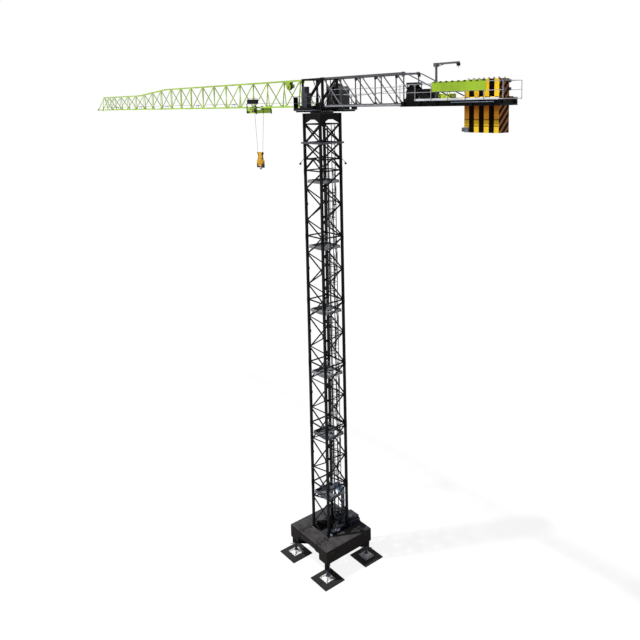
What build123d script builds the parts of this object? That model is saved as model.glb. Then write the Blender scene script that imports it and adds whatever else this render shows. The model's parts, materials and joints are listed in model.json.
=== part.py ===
"""Flat-top tower crane on a ballasted cross base, modelled at half the real size.

Frame: origin on the underside of the cross base, on the mast's centre line. +X runs along the jib,
+Y to its left and +Z up. The ground lies foot_height below the origin.
Units are model millimetres, so 500 of them stand for one metre of the real crane.
"""

from math import hypot
import os

from build123d import *

os.makedirs("parts", exist_ok=True)

# Clearances
seat_gap = 0.3
bearing_gap = 0.3
travel_gap = 6.0

# Cross base: pads, screw jacks and diagonal beams
pad_side = 990.0
pad_thickness = 40.0
pad_offset = 1065.0
bearing_plate_side = 450.0
bearing_plate_thickness = 30.0
jack_socket_radius = 85.0
jack_socket_height = 130.0
jack_spindle_radius = 42.0
jack_nut_radius = 75.0
jack_nut_height = 50.0
foot_height = 500.0
beam_depth = 255.0
beam_width = 190.0
beam_flange = 22.0
beam_web = 16.0
beam_overhang = 130.0
beam_head_length = 230.0
beam_head_recess = 5.0
shoe_side = 230.0
shoe_plate_thickness = 20.0
shoe_height = 110.0

# Ballast blocks
ballast_half_side = 1210.0
ballast_lower_height = 250.0
ballast_upper_height = 305.0
ballast_lower_width = 500.0
ballast_opening_clearance = 20.0
ballast_arch_rise = 65.0
ballast_arch_run = 180.0
ballast_edge_chamfer = 12.0
ballast_seam_width = 4.0
ballast_cross_seam = -740.0
base_cabinet_length = 420.0
base_cabinet_depth = 400.0
base_cabinet_height = 320.0
base_cabinet_gap = 60.0

# Mast lattice
mast_side = 1000.0
mast_chord = 90.0
mast_brace = 44.0
mast_brace_depth = 40.0
mast_tie = 50.0
mast_tie_inset = 45.0
base_section_length = 2415.0
section_length = 2640.0
section_count = 5
section_pitches = 4
top_section_length = 2270.0
top_collar_drop = 1775.0
top_band_drop = 1135.0
top_tie_drop = 400.0
top_plate_depth = 225.0
top_haunch = 150.0

# Mast fittings
platform_drop = 450.0
platform_thickness = 16.0
platform_hatch = 380.0
ladder_width = 200.0
ladder_stile = 24.0
ladder_rung = 14.0
ladder_rung_pitch = 300.0
ladder_x = -175.0
ladder_y = -400.0
head_ladder_x = -225.0
head_ladder_y = -180.0
lamp_reach = 130.0
lamp_drop = 140.0
lamp_arm_depth = 28.0
lamp_arm_width = 16.0
lamp_size = 90.0
band_height = 70.0
band_reach = 60.0

# Slewing ring and turntable
ring_outer_radius = 465.0
ring_inner_radius = 330.0
ring_race_width = 70.0
ring_lower_height = 80.0
ring_upper_height = 120.0
turntable_height = 125.0
turntable_length = 1500.0
turntable_hole_radius = 250.0
hub_height = 70.0

# Tower head and counter-jib lattice
frame_half_width = 360.0
frame_chord = 70.0
frame_brace = 34.0
frame_post = 60.0
lattice_height = 1050.0
head_front = 750.0
head_rear = -560.0
head_post = 95.0
counter_bay = 1068.0
counter_bays = 4
counter_walkway_width = 300.0

# Walkways at the head
walkway_drop = 95.0
walkway_thickness = 30.0
walkway_rail_height = 530.0
rail_bar = 16.0
left_walkway_back = -420.0
left_walkway_front = 760.0
left_walkway_width = 420.0
cab_walkway_back = -860.0
cab_walkway_front = 330.0
cab_walkway_width = 700.0

# Operator's cab
cab_back = -500.0
cab_length = 725.0
cab_width = 590.0
cab_height = 900.0
cab_wall = 22.0
cab_nose = 110.0
cab_rear_chamfer = 120.0
cab_side_clearance = 30.0
glass_thickness = 6.0

# Control cabinets on the left walkway
cabinet_length = 300.0
cabinet_depth = 200.0
cabinet_height = 650.0
cabinet_top_length = 190.0
cabinet_top_height = 250.0

# Counter-jib deck
deck_front = -4700.0
deck_back = -8650.0
deck_beam_depth = 175.0
deck_beam_width = 70.0
deck_rise = 120.0
deck_plate = 14.0
deck_rail_height = 550.0
rail_overhang = 150.0
slab_bay_front = -7235.0
slab_count = 7
slab_pitch = 183.0
slab_thickness = 178.0
slab_half_width = 235.0
slab_rise = 610.0
slab_drop = 980.0
slab_lug_height = 90.0
slab_lug_bearing = 40.0
cross_beam_length = 90.0

# Hoist winch on the deck
winch_front = -4700.0
winch_length = 1200.0
winch_width = 460.0
winch_base_height = 90.0
drum_radius = 150.0
drum_flange_radius = 215.0
drum_length = 300.0
drum_shaft_radius = 30.0
winch_cheek = 20.0
motor_radius = 125.0

# Signboard, rope guard box and davit
sign_front = -6130.0
sign_length = 2060.0
sign_height = 285.0
sign_rise = 290.0
sign_thickness = 14.0
guard_box_front = -6130.0
guard_box_length = 460.0
guard_box_width = 300.0
guard_box_height = 200.0
davit_x = -6130.0
davit_y = 262.0
davit_radius = 38.0
davit_post_height = 1060.0
davit_sleeve_height = 120.0
davit_sleeve_side = 130.0
davit_reach = 920.0
davit_arm_depth = 60.0

# Jib
jib_root_end = 3100.0
jib_section = 3500.0
jib_tip_section = 2475.0
jib_tip_slant = 325.0
run_rise = 165.0
anchor_side = 50.0
jib_panels = 3
jib_half_width = 325.0
jib_bottom_chord = 60.0
jib_top_chord = 70.0
jib_brace = 30.0
jib_low_height = 790.0
rail_ledge = 34.0
rail_ledge_thickness = 8.0

# Trolley winch, trolley and hook block
trolley_drum_x = 2100.0
trolley_drum_radius = 150.0
trolley_drum_length = 130.0
trolley_x = 4450.0
trolley_length = 760.0
trolley_depth = 220.0
trolley_plate = 14.0
trolley_wheel_radius = 42.0
trolley_wheel_width = 24.0
wheel_set_out = 2.0
trolley_sheave_radius = 85.0
trolley_sheave_width = 34.0
trolley_axle_radius = 14.0
trolley_bar = 50.0
trolley_plate_waist = 120.0
cage_length = 725.0
cage_width = 110.0
cage_height = 190.0
cage_wall = 10.0
cage_rise = 178.0
cage_setback = 215.0
trolley_shaft_radius = 15.0
saddle_thickness = 12.0
hanger_thickness = 10.0
rope_radius = 6.0
head_sheave_x = 300.0
head_sheave_radius = 75.0
rope_gap = 0.7
fall_top_spread = 362.0
fall_foot_spread = 189.0
hook_hang = 1724.0
hook_cheek_length = 330.0
hook_cheek_height = 325.0
hook_cheek = 14.0
hook_block_width = 110.0
hook_weight_length = 470.0
hook_weight_height = 190.0
block_sheave_radius = 75.0
block_sheave_width = 34.0
block_sheave_drop = 95.0
bumper_length = 90.0
bumper_height = 180.0
hook_drop = 195.0
hook_bowl_radius = 62.0
hook_body_radius = 20.0
hook_shank_radius = 24.0
hook_arc = 290.0

# Levels and places worked out from the sizes above
ground = -foot_height
beam_top = beam_depth
ballast_bottom = beam_top
ballast_seam = ballast_bottom + ballast_lower_height
ballast_top = ballast_seam + ballast_upper_height
mast_half = mast_side / 2
chord_half = mast_chord / 2
mast_base = beam_top + shoe_height
first_joint = mast_base + base_section_length
top_joint = first_joint + section_count * section_length
mast_top = top_joint + top_section_length
ballast_opening = mast_half + chord_half + ballast_opening_clearance
ring_top = mast_top + ring_upper_height
turntable_top = ring_top + turntable_height
chord_level = turntable_top + frame_chord / 2
walkway_top = turntable_top - walkway_drop
chord_top_level = chord_level + lattice_height
deck_top = chord_level + deck_rise
deck_bottom = deck_top - deck_beam_depth
jib_root = head_front + seat_gap
diagonal = pad_offset * 2**0.5


def write(builder, name):
    """Label a finished sub-part and save it."""
    builder.part.label = name
    export_step(builder.part, f"parts/{name}.step")


def lacing_bar(start, end, width):
    """One flat bar between two chord lines, cut parallel to the chords."""
    u0, v0 = start
    u1, v1 = end
    half = width * hypot(u1 - u0, v1 - v0) / abs(v1 - v0) / 2
    Polygon((u0 - half, v0), (u0 + half, v0), (u1 + half, v1), (u1 - half, v1))


def zigzag(stations, low, high, width):
    """Lacing that goes from chord to chord at each station in turn."""
    edges = (low, high)
    for i in range(len(stations) - 1):
        lacing_bar((stations[i], edges[i % 2]), (stations[i + 1], edges[(i + 1) % 2]), width)


def stations_between(start, end, count):
    """Evenly spaced stations with both ends included."""
    return [start + (end - start) * i / count for i in range(count + 1)]


def face_along_x(y):
    """Drawing plane of a mast face whose width runs along X: u is up, v is +X."""
    return Plane(origin=(0, y, 0), x_dir=(0, 0, 1), z_dir=(0, 1, 0))


def face_along_y(x):
    """Drawing plane of a mast face whose width runs along Y: u is up, v is +Y."""
    return Plane(origin=(x, 0, 0), x_dir=(0, 0, 1), z_dir=(-1, 0, 0))


def side_face(y):
    """Drawing plane of an upright side frame: u is +X, v is up."""
    return Plane(origin=(0, y, 0), x_dir=(1, 0, 0), z_dir=(0, -1, 0))


def square_bar(start, end, width):
    """A straight square bar between two points, added to the part in hand."""
    path = Vector(*end) - Vector(*start)
    with BuildSketch(Plane(origin=start, z_dir=path.normalized()), mode=Mode.PRIVATE) as section:
        Rectangle(width, width)
    extrude(section.sketch, amount=path.length)


# Foot pads, bearing plates and screw jacks
pad_places = GridLocations(2 * pad_offset, 2 * pad_offset, 2, 2)

with BuildPart() as foot_pads:
    with BuildSketch(Plane.XY.offset(ground)):
        with pad_places:
            Rectangle(pad_side, pad_side)
    extrude(amount=pad_thickness)
    chamfer(foot_pads.faces().filter_by(Axis.Z).group_by(Axis.Z)[-1].edges(), pad_thickness / 4)
write(foot_pads, "foot_pads")

with BuildPart() as bearing_plates:
    with BuildSketch(Plane.XY.offset(ground + pad_thickness)):
        with pad_places:
            Rectangle(bearing_plate_side, bearing_plate_side)
    extrude(amount=bearing_plate_thickness)
write(bearing_plates, "bearing_plates")

jack_base = ground + pad_thickness + bearing_plate_thickness
jack_top = beam_head_recess
with BuildPart() as screw_jacks:
    with BuildSketch(Plane.XY.offset(jack_base)):
        with pad_places:
            Circle(jack_socket_radius)
    extrude(amount=jack_socket_height)
    chamfer(screw_jacks.faces().group_by(Axis.Z)[-1].edges(), jack_socket_radius / 4)
    with BuildSketch(Plane.XY.offset(jack_base)):
        with pad_places:
            Circle(jack_spindle_radius)
    extrude(amount=jack_top - jack_base)
    with BuildSketch(Plane.XY.offset(jack_top - jack_nut_height)):
        with pad_places:
            RegularPolygon(jack_nut_radius, 6)
    extrude(amount=jack_nut_height)
write(screw_jacks, "screw_jacks")

# Diagonal cross beams: one long beam and two halves that butt against it
beam_reach = diagonal + beam_overhang
beam_head_start = beam_reach - beam_head_length


def cross_beam(direction, start, end):
    """An I-beam along a diagonal."""
    across = Vector(-direction.Y, direction.X, 0)
    origin = direction * start + Vector(0, 0, beam_depth / 2)
    with BuildSketch(Plane(origin=origin, x_dir=across, z_dir=direction)) as profile:
        Rectangle(beam_width, beam_depth)
        with Locations(((beam_width + beam_web) / 4, 0), (-(beam_width + beam_web) / 4, 0)):
            Rectangle((beam_width - beam_web) / 2, beam_depth - 2 * beam_flange, mode=Mode.SUBTRACT)
    extrude(profile.sketch, amount=end - start)


def beam_head(direction, end):
    """The closed box head at a beam's end, its underside recessed over the jack."""
    across = Vector(-direction.Y, direction.X, 0)
    origin = direction * (end - beam_head_length) + Vector(0, 0, (beam_head_recess + beam_depth) / 2)
    with BuildSketch(Plane(origin=origin, x_dir=across, z_dir=direction)) as profile:
        Rectangle(beam_width, beam_depth - beam_head_recess)
    extrude(profile.sketch, amount=beam_head_length)


diagonal_a = Vector(1, 1, 0).normalized()
diagonal_b = Vector(-1, 1, 0).normalized()
with BuildPart() as cross_beams:
    cross_beam(diagonal_a, -beam_head_start, beam_head_start)
    beam_head(diagonal_a, beam_reach)
    beam_head(diagonal_a * -1, beam_reach)
    for way in (diagonal_b, diagonal_b * -1):
        cross_beam(way, beam_width / 2 + seat_gap, beam_head_start)
        beam_head(way, beam_reach)
write(cross_beams, "cross_beams")

with BuildPart() as mast_shoes:
    with BuildSketch(Plane.XY.offset(beam_top)):
        with GridLocations(mast_side, mast_side, 2, 2):
            Rectangle(shoe_side, shoe_side, rotation=45)
    extrude(amount=shoe_plate_thickness)
    with BuildSketch(Plane.XY.offset(beam_top)):
        with GridLocations(mast_side, mast_side, 2, 2):
            Rectangle(mast_chord, mast_chord)
    extrude(amount=shoe_height)
write(mast_shoes, "mast_shoes")

# Ballast ring: long blocks in two layers, short arched blocks between them
long_lower_x = ballast_half_side - ballast_lower_width / 2
long_upper_width = ballast_half_side - ballast_opening
long_upper_x = ballast_half_side - long_upper_width / 2
with BuildPart() as ballast_long_blocks:
    with BuildSketch(Plane.XY.offset(ballast_bottom)):
        with GridLocations(2 * long_lower_x, 0, 2, 1):
            Rectangle(ballast_lower_width, 2 * ballast_half_side)
    extrude(amount=ballast_lower_height - seat_gap)
    with BuildSketch(Plane.XY.offset(ballast_seam)):
        with GridLocations(2 * long_upper_x, 0, 2, 1):
            Rectangle(long_upper_width, 2 * ballast_half_side)
    extrude(amount=ballast_upper_height)
    with BuildSketch(Plane.XY.offset(ballast_seam)):
        with Locations((0, ballast_cross_seam)):
            Rectangle(2 * ballast_half_side, ballast_seam_width)
    extrude(amount=ballast_upper_height, mode=Mode.SUBTRACT)
    chamfer(ballast_long_blocks.faces().group_by(Axis.Z)[-1].edges(), ballast_edge_chamfer)
write(ballast_long_blocks, "ballast_long_blocks")

short_half = ballast_opening - seat_gap
haunch_bottom = ballast_seam - ballast_arch_rise / 2
arch_bottom = haunch_bottom + ballast_arch_rise
with BuildPart() as ballast_side_blocks:
    for face_y in (-ballast_opening, ballast_half_side):
        with BuildSketch(side_face(face_y)):
            Polygon(
                (-short_half, ballast_top),
                (-short_half, haunch_bottom),
                (ballast_arch_run - short_half, arch_bottom),
                (short_half - ballast_arch_run, arch_bottom),
                (short_half, haunch_bottom),
                (short_half, ballast_top),
            )
        extrude(amount=ballast_half_side - ballast_opening)
write(ballast_side_blocks, "ballast_side_blocks")

# Switch cabinets standing on the far side block
with BuildPart() as base_cabinets:
    for x, length, height in (
        (-base_cabinet_length / 2 - base_cabinet_gap, base_cabinet_length, base_cabinet_height),
        (base_cabinet_length / 2, base_cabinet_length - base_cabinet_gap, base_cabinet_height * 3 / 4),
    ):
        with BuildSketch(Plane.XY.offset(ballast_top)):
            with Locations((x, -(ballast_opening + ballast_half_side) / 2)):
                Rectangle(length, base_cabinet_depth)
        extrude(amount=height)
    chamfer(base_cabinets.faces().filter_by(Axis.Z).sort_by(Axis.Z)[-1].edges(), base_cabinet_gap / 4)
write(base_cabinets, "base_cabinets")


# Mast sections: two faces own the chords, the other two are lacing set between them
inner_edge = mast_half - chord_half - seat_gap


def lattice_face(plane, length, edge, with_chords):
    """One face of a mast section from its foot at u=0, as one flat solid."""
    if with_chords:
        with BuildSketch(plane) as profile:
            with GridLocations(0, mast_side, 1, 2):
                with Locations((length / 2, 0)):
                    Rectangle(length, mast_chord)
        extrude(profile.sketch, amount=chord_half, both=True)
    stations = stations_between(mast_tie_inset, length - mast_tie_inset, section_pitches)
    with BuildSketch(plane) as profile:
        zigzag(stations, -edge, edge, mast_brace)
        with Locations((mast_tie_inset, 0)):
            Rectangle(mast_tie, 2 * edge)
    extrude(profile.sketch, amount=mast_brace_depth / 2, both=True)


def mast_frame(length):
    """A whole mast section standing on z=0: four flat faces that do not touch."""
    with BuildPart() as frame:
        for y in (-mast_half, mast_half):
            lattice_face(face_along_x(y), length, mast_half, True)
        for x in (-mast_half, mast_half):
            lattice_face(face_along_y(x), length, inner_edge, False)
    return frame.part


with BuildPart() as mast_base_section:
    with Locations((0, 0, mast_base)):
        add(mast_frame(base_section_length))
write(mast_base_section, "mast_base_section")

standard_section = mast_frame(section_length)
for i in range(section_count):
    with BuildPart() as mast_section:
        with Locations((0, 0, first_joint + i * section_length)):
            add(standard_section)
    write(mast_section, f"mast_section_{i + 2}")


top_collar_level = top_section_length - top_collar_drop
top_band_level = top_section_length - top_band_drop
top_tie_level = top_section_length - top_tie_drop


def cross_brace(low, high, edge):
    """Two crossing diagonals between two levels."""
    lacing_bar((low, -edge), (high, edge), mast_brace)
    lacing_bar((low, edge), (high, -edge), mast_brace)


def top_face(plane, edge, with_chords):
    """One face of the top section: a K panel, two X panels and a haunched ring plate."""
    if with_chords:
        with BuildSketch(plane) as profile:
            with GridLocations(0, mast_side, 1, 2):
                with Locations((top_section_length / 2, 0)):
                    Rectangle(top_section_length, mast_chord)
        extrude(profile.sketch, amount=chord_half, both=True)
    with BuildSketch(plane) as profile:
        for level in (mast_tie_inset, top_collar_level, top_band_level, top_tie_level):
            with Locations((level, 0)):
                Rectangle(mast_tie, 2 * edge)
        lacing_bar((mast_tie_inset + mast_tie, -edge), (top_collar_level, 0), mast_brace)
        lacing_bar((mast_tie_inset + mast_tie, edge), (top_collar_level, 0), mast_brace)
        cross_brace(top_collar_level, top_band_level, edge)
        cross_brace(top_band_level, top_tie_level, edge)
    extrude(profile.sketch, amount=mast_brace_depth / 2, both=True)
    plate_bottom = top_section_length - top_plate_depth
    with BuildSketch(plane) as profile:
        Polygon(
            (top_section_length, -edge),
            (top_section_length, edge),
            (plate_bottom - top_haunch, edge),
            (plate_bottom, edge - 2 * top_haunch),
            (plate_bottom, 2 * top_haunch - edge),
            (plate_bottom - top_haunch, -edge),
        )
    extrude(profile.sketch, amount=mast_brace_depth / 2, both=True)


with BuildPart() as mast_top_section:
    for y in (-mast_half, mast_half):
        top_face(Plane(origin=(0, y, top_joint), x_dir=(0, 0, 1), z_dir=(0, 1, 0)), mast_half, True)
    for x in (-mast_half, mast_half):
        top_face(Plane(origin=(x, 0, top_joint), x_dir=(0, 0, 1), z_dir=(-1, 0, 0)), inner_edge, False)
write(mast_top_section, "mast_top_section")

# Band platform round the top section
band_inner = mast_half + chord_half + seat_gap
with BuildPart() as mast_band:
    with BuildSketch(Plane.XY.offset(top_joint + top_band_level - band_height / 2)):
        Rectangle(2 * (band_inner + band_reach), 2 * (band_inner + band_reach))
        Rectangle(2 * band_inner, 2 * band_inner, mode=Mode.SUBTRACT)
    extrude(amount=band_height)
write(mast_band, "mast_band")

# Rest platforms and ladders inside the mast
hatch_middle = ladder_y - ladder_stile / 2 - seat_gap + platform_hatch / 2
with BuildPart() as rest_platforms:
    for i in range(section_count + 1):
        level = first_joint + i * section_length - platform_drop
        with BuildSketch(Plane.XY.offset(level)):
            Rectangle(2 * inner_edge, 2 * inner_edge)
            with Locations((ladder_x, hatch_middle)):
                Rectangle(platform_hatch, platform_hatch, mode=Mode.SUBTRACT)
        extrude(amount=platform_thickness)
write(rest_platforms, "rest_platforms")

ladder_bottom = mast_base
ladder_top = mast_top - platform_drop


def ladder(x, y, bottom, top, along_x):
    """Two stiles with rungs between them, as one piece, facing X or Y."""
    across = (ladder_width, 0) if along_x else (0, ladder_width)
    with BuildSketch(Plane.XY.offset(bottom)) as stiles:
        with Locations((x - across[0] / 2, y - across[1] / 2), (x + across[0] / 2, y + across[1] / 2)):
            Rectangle(ladder_stile, ladder_stile)
    extrude(stiles.sketch, amount=top - bottom)
    normal = (1, 0, 0) if along_x else (0, 1, 0)
    with BuildSketch(Plane(origin=(x, y, bottom), x_dir=(0, 0, 1), z_dir=normal)) as rungs:
        for i in range(int((top - bottom) / ladder_rung_pitch)):
            with Locations(((i + 1 / 2) * ladder_rung_pitch, 0)):
                Rectangle(ladder_rung, ladder_rung)
    extrude(rungs.sketch, amount=ladder_width / 2, both=True)


with BuildPart() as mast_ladder:
    ladder(ladder_x, ladder_y, ladder_bottom, ladder_top, True)
write(mast_ladder, "mast_ladder")

# Floodlights on two opposite corners of the top section
with BuildPart() as mast_lamps:
    for way in (1, -1):
        corner = Vector(way, way, 0).normalized()
        collar = top_joint + top_collar_level
        arm_root = (mast_half + chord_half) * 2**0.5 + seat_gap
        side_view = Plane(origin=(0, 0, collar), x_dir=corner, z_dir=corner.cross(Vector(0, 0, 1)))
        with BuildSketch(side_view) as arm:
            Polygon(
                (arm_root, 0),
                (arm_root, -lamp_arm_depth),
                (arm_root + lamp_reach, -lamp_arm_depth - lamp_drop),
                (arm_root + lamp_reach, -lamp_drop),
            )
        extrude(arm.sketch, amount=lamp_arm_width / 2, both=True)
        with BuildSketch(side_view) as head:
            with Locations((arm_root + lamp_reach, -lamp_drop - lamp_size / 2)):
                Rectangle(lamp_size, lamp_size * 2 / 3, rotation=-45)
        extrude(head.sketch, amount=lamp_size / 2, both=True)
write(mast_lamps, "mast_lamps")

# Slewing ring: the fixed outer race and the turning inner race nested in it
race_radius = ring_outer_radius - ring_race_width
with BuildPart() as slewing_ring_lower:
    with BuildSketch(Plane.XY.offset(mast_top)):
        Rectangle(mast_side + mast_chord, mast_side + mast_chord)
        Circle(ring_inner_radius - ring_race_width, mode=Mode.SUBTRACT)
    extrude(amount=shoe_plate_thickness)
    with BuildSketch(Plane.XY.offset(mast_top)):
        Circle(ring_outer_radius)
        Circle(race_radius, mode=Mode.SUBTRACT)
    extrude(amount=ring_lower_height)
write(slewing_ring_lower, "slewing_ring_lower")

with BuildPart() as slewing_ring_upper:
    with BuildSketch(Plane.XY.offset(mast_top + shoe_plate_thickness + bearing_gap)):
        Circle(race_radius - bearing_gap)
        Circle(ring_inner_radius, mode=Mode.SUBTRACT)
    extrude(amount=ring_upper_height - shoe_plate_thickness - bearing_gap)
write(slewing_ring_upper, "slewing_ring_upper")

# Turntable: a round hub under the head's base plate
with BuildPart() as turntable:
    with BuildSketch(Plane.XY.offset(ring_top)):
        Circle(race_radius - bearing_gap)
    extrude(amount=hub_height)
    with BuildSketch(Plane.XY.offset(ring_top + hub_height)):
        Rectangle(turntable_length, 2 * frame_half_width + frame_chord)
    extrude(amount=turntable_height - hub_height)
    with BuildSketch(Plane.XY.offset(ring_top)):
        Circle(turntable_hole_radius)
    extrude(amount=turntable_height, mode=Mode.SUBTRACT)
write(turntable, "turntable")

# Tower head: two side frames with posts, joined by cross bars
chord_half_depth = frame_chord / 2
lattice_inner = frame_half_width - chord_half_depth - seat_gap


def chord_pair(front, rear):
    """Top and bottom chords of an upright side frame."""
    with Locations(((front + rear) / 2, chord_level), ((front + rear) / 2, chord_top_level)):
        Rectangle(front - rear, frame_chord)


with BuildPart() as head_frames:
    for y in (-frame_half_width, frame_half_width):
        with BuildSketch(side_face(y)):
            chord_pair(head_front, head_rear)
            with Locations((head_rear + head_post / 2, chord_level + lattice_height / 2)):
                Rectangle(head_post, lattice_height)
            foot = (head_front - head_post, chord_level)
            lacing_bar(foot, (head_rear + head_post, chord_top_level), head_post)
            with Locations((head_front - frame_post / 2, chord_level + lattice_height / 2)):
                Rectangle(frame_post, lattice_height)
        extrude(amount=chord_half_depth, both=True)
    with BuildSketch(Plane.XZ):
        for x in (head_front - frame_post / 2, head_rear + head_post / 2):
            for z in (chord_level, chord_top_level):
                with Locations((x, z)):
                    Rectangle(frame_post, frame_post)
    extrude(amount=lattice_inner, both=True)
write(head_frames, "head_frames")

# Ladder up the inside of the head
with BuildPart() as head_ladder:
    ladder(head_ladder_x, head_ladder_y, turntable_top, chord_top_level, False)
write(head_ladder, "head_ladder")

walkway_inner = frame_half_width + chord_half_depth + seat_gap


def railing(front, rear, height, posts):
    """A railing panel drawn in its own plane from v=0 up."""
    with Locations(((front + rear) / 2, height - rail_bar / 2), ((front + rear) / 2, height / 2)):
        Rectangle(front - rear, rail_bar)
    for x in stations_between(rear + rail_bar / 2, front - rail_bar / 2, posts - 1):
        with Locations((x, height / 2)):
            Rectangle(rail_bar, height)


# Control cabinets: a deep lower box with a narrower one on top
cabinet_x = left_walkway_front - 2 * cabinet_length
cabinet_y = walkway_inner + left_walkway_width / 2
with BuildPart() as control_cabinets:
    with BuildSketch(Plane.XY.offset(walkway_top)):
        with Locations((cabinet_x, cabinet_y)):
            Rectangle(cabinet_length, cabinet_depth)
    extrude(amount=cabinet_height)
    with BuildSketch(Plane.XY.offset(walkway_top + cabinet_height)):
        with Locations((cabinet_x + (cabinet_length - cabinet_top_length) / 2, cabinet_y)):
            Rectangle(cabinet_top_length, cabinet_depth)
    extrude(amount=cabinet_top_height)
    chamfer(control_cabinets.faces().group_by(Axis.Z)[-1].edges(), cabinet_depth / 20)
write(control_cabinets, "control_cabinets")

# Operator's cab: a bent-nosed shell with openings, and its glass
cab_front = cab_back + cab_length
cab_near = -walkway_inner - cab_side_clearance
cab_far = cab_near - cab_width
cab_middle_y = (cab_near + cab_far) / 2
cab_roof = walkway_top + cab_height


def cab_outline():
    """Side view of the cab, with a raked front and a cut rear roof corner."""
    Polygon(
        (cab_back, walkway_top),
        (cab_front - cab_nose, walkway_top),
        (cab_front, walkway_top + cab_height / 3),
        (cab_front - cab_nose / 2, cab_roof),
        (cab_back + cab_rear_chamfer, cab_roof),
        (cab_back, cab_roof - cab_rear_chamfer),
    )


window_low = walkway_top + cab_height / 3
window_high = cab_roof - 3 * cab_wall
with BuildPart() as operator_cab:
    with BuildSketch(side_face(cab_middle_y)):
        cab_outline()
    extrude(amount=cab_width / 2, both=True)
    with BuildSketch(side_face(cab_middle_y)):
        cab_outline()
        offset(amount=-cab_wall, kind=Kind.INTERSECTION, mode=Mode.REPLACE)
    extrude(amount=cab_width / 2 - cab_wall, both=True, mode=Mode.SUBTRACT)
    with BuildSketch(side_face(cab_middle_y)):
        with Locations(((cab_back + cab_front) / 2 - cab_wall, (window_low + window_high) / 2)):
            Rectangle(cab_length - 2 * cab_nose - 2 * cab_wall, window_high - window_low)
    extrude(amount=cab_width, both=True, mode=Mode.SUBTRACT)
    nose_origin = (cab_front - cab_nose - cab_wall, cab_middle_y, 0)
    with BuildSketch(Plane(origin=nose_origin, x_dir=(0, 1, 0), z_dir=(1, 0, 0))):
        with Locations((0, (walkway_top + 4 * cab_wall + window_high) / 2)):
            Rectangle(cab_width - 4 * cab_wall, window_high - walkway_top - 4 * cab_wall)
    extrude(amount=2 * cab_nose, mode=Mode.SUBTRACT)
write(operator_cab, "operator_cab")

with BuildPart() as cab_windows:
    pane_length = cab_length - 2 * cab_nose - 2 * cab_wall - 2 * seat_gap
    for y in (cab_near - cab_wall / 2, cab_far + cab_wall / 2):
        with BuildSketch(side_face(y)):
            with Locations(((cab_back + cab_front) / 2 - cab_wall, (window_low + window_high) / 2)):
                Rectangle(pane_length, window_high - window_low - 2 * seat_gap)
        extrude(amount=glass_thickness / 2, both=True)
    with BuildSketch(side_face(cab_middle_y)):
        Polygon(
            (cab_front - cab_nose / 2 - cab_wall, window_high - seat_gap),
            (cab_front - cab_nose / 2 - cab_wall + glass_thickness, window_high - seat_gap),
            (cab_front - cab_wall + glass_thickness, window_low),
            (cab_front - cab_wall, window_low),
        )
    extrude(amount=cab_width / 2 - 2 * cab_wall - seat_gap, both=True)
write(cab_windows, "cab_windows")

# Counter-jib lattice: two side frames with posts and diagonals that fall to the rear
counter_front = head_rear - seat_gap
counter_rear = counter_front - counter_bay * counter_bays
counter_posts = stations_between(counter_front, counter_rear, counter_bays)
with BuildPart() as counter_jib_lattice:
    for y in (-frame_half_width, frame_half_width):
        with BuildSketch(side_face(y)):
            chord_pair(counter_front, counter_rear)
        extrude(amount=chord_half_depth, both=True)
        with BuildSketch(side_face(y)):
            for front, rear in zip(counter_posts, counter_posts[1:]):
                top = (front - frame_post / 2, chord_top_level)
                lacing_bar(top, (rear + frame_post / 2, chord_level), frame_brace)
                with Locations((rear + frame_post / 2, chord_level + lattice_height / 2)):
                    Rectangle(frame_post / 2, lattice_height)
        extrude(amount=frame_brace / 2, both=True)
    stations = stations_between(counter_front - frame_brace, counter_rear + frame_brace, 2 * counter_bays)
    for level in (chord_level, chord_top_level):
        with BuildSketch(Plane.XY.offset(level)):
            zigzag(stations, -lattice_inner, lattice_inner, frame_brace)
        extrude(amount=frame_brace / 2, both=True)
write(counter_jib_lattice, "counter_jib_lattice")

# Counter-jib deck: side beams, cross beams, plated floor and an open bay for the slabs
deck_middle = (deck_front + deck_back) / 2
deck_length = deck_front - deck_back
deck_beam_y = frame_half_width + deck_beam_width
slab_bay_length = slab_count * slab_pitch
slab_bay_back = slab_bay_front - slab_bay_length
beam_inner = deck_beam_y - deck_beam_width / 2
deck_inner = beam_inner - seat_gap
deck_beam_ends = (
    (counter_rear - cross_beam_length / 2, counter_rear - 3 * cross_beam_length / 2),
    (slab_bay_front + travel_gap + cross_beam_length, slab_bay_front + travel_gap),
    (slab_bay_back - travel_gap, deck_back),
)
with BuildPart() as deck_beams:
    for side in (-1, 1):
        beam_end = (deck_back, side * deck_beam_y, deck_bottom + deck_beam_depth / 2)
        with BuildSketch(Plane(origin=beam_end, x_dir=(0, 1, 0), z_dir=(1, 0, 0))):
            Rectangle(deck_beam_width, deck_beam_depth)
            with Locations((side * deck_plate, 0)):
                Rectangle(deck_beam_width, deck_beam_depth - 2 * deck_plate, mode=Mode.SUBTRACT)
        extrude(amount=deck_length)
    with BuildSketch(Plane.XY.offset(deck_bottom)):
        for front, rear in deck_beam_ends:
            with Locations(((front + rear) / 2, 0)):
                Rectangle(front - rear, 2 * deck_inner)
    extrude(amount=deck_beam_depth - deck_plate - seat_gap)
write(deck_beams, "deck_beams")

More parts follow.
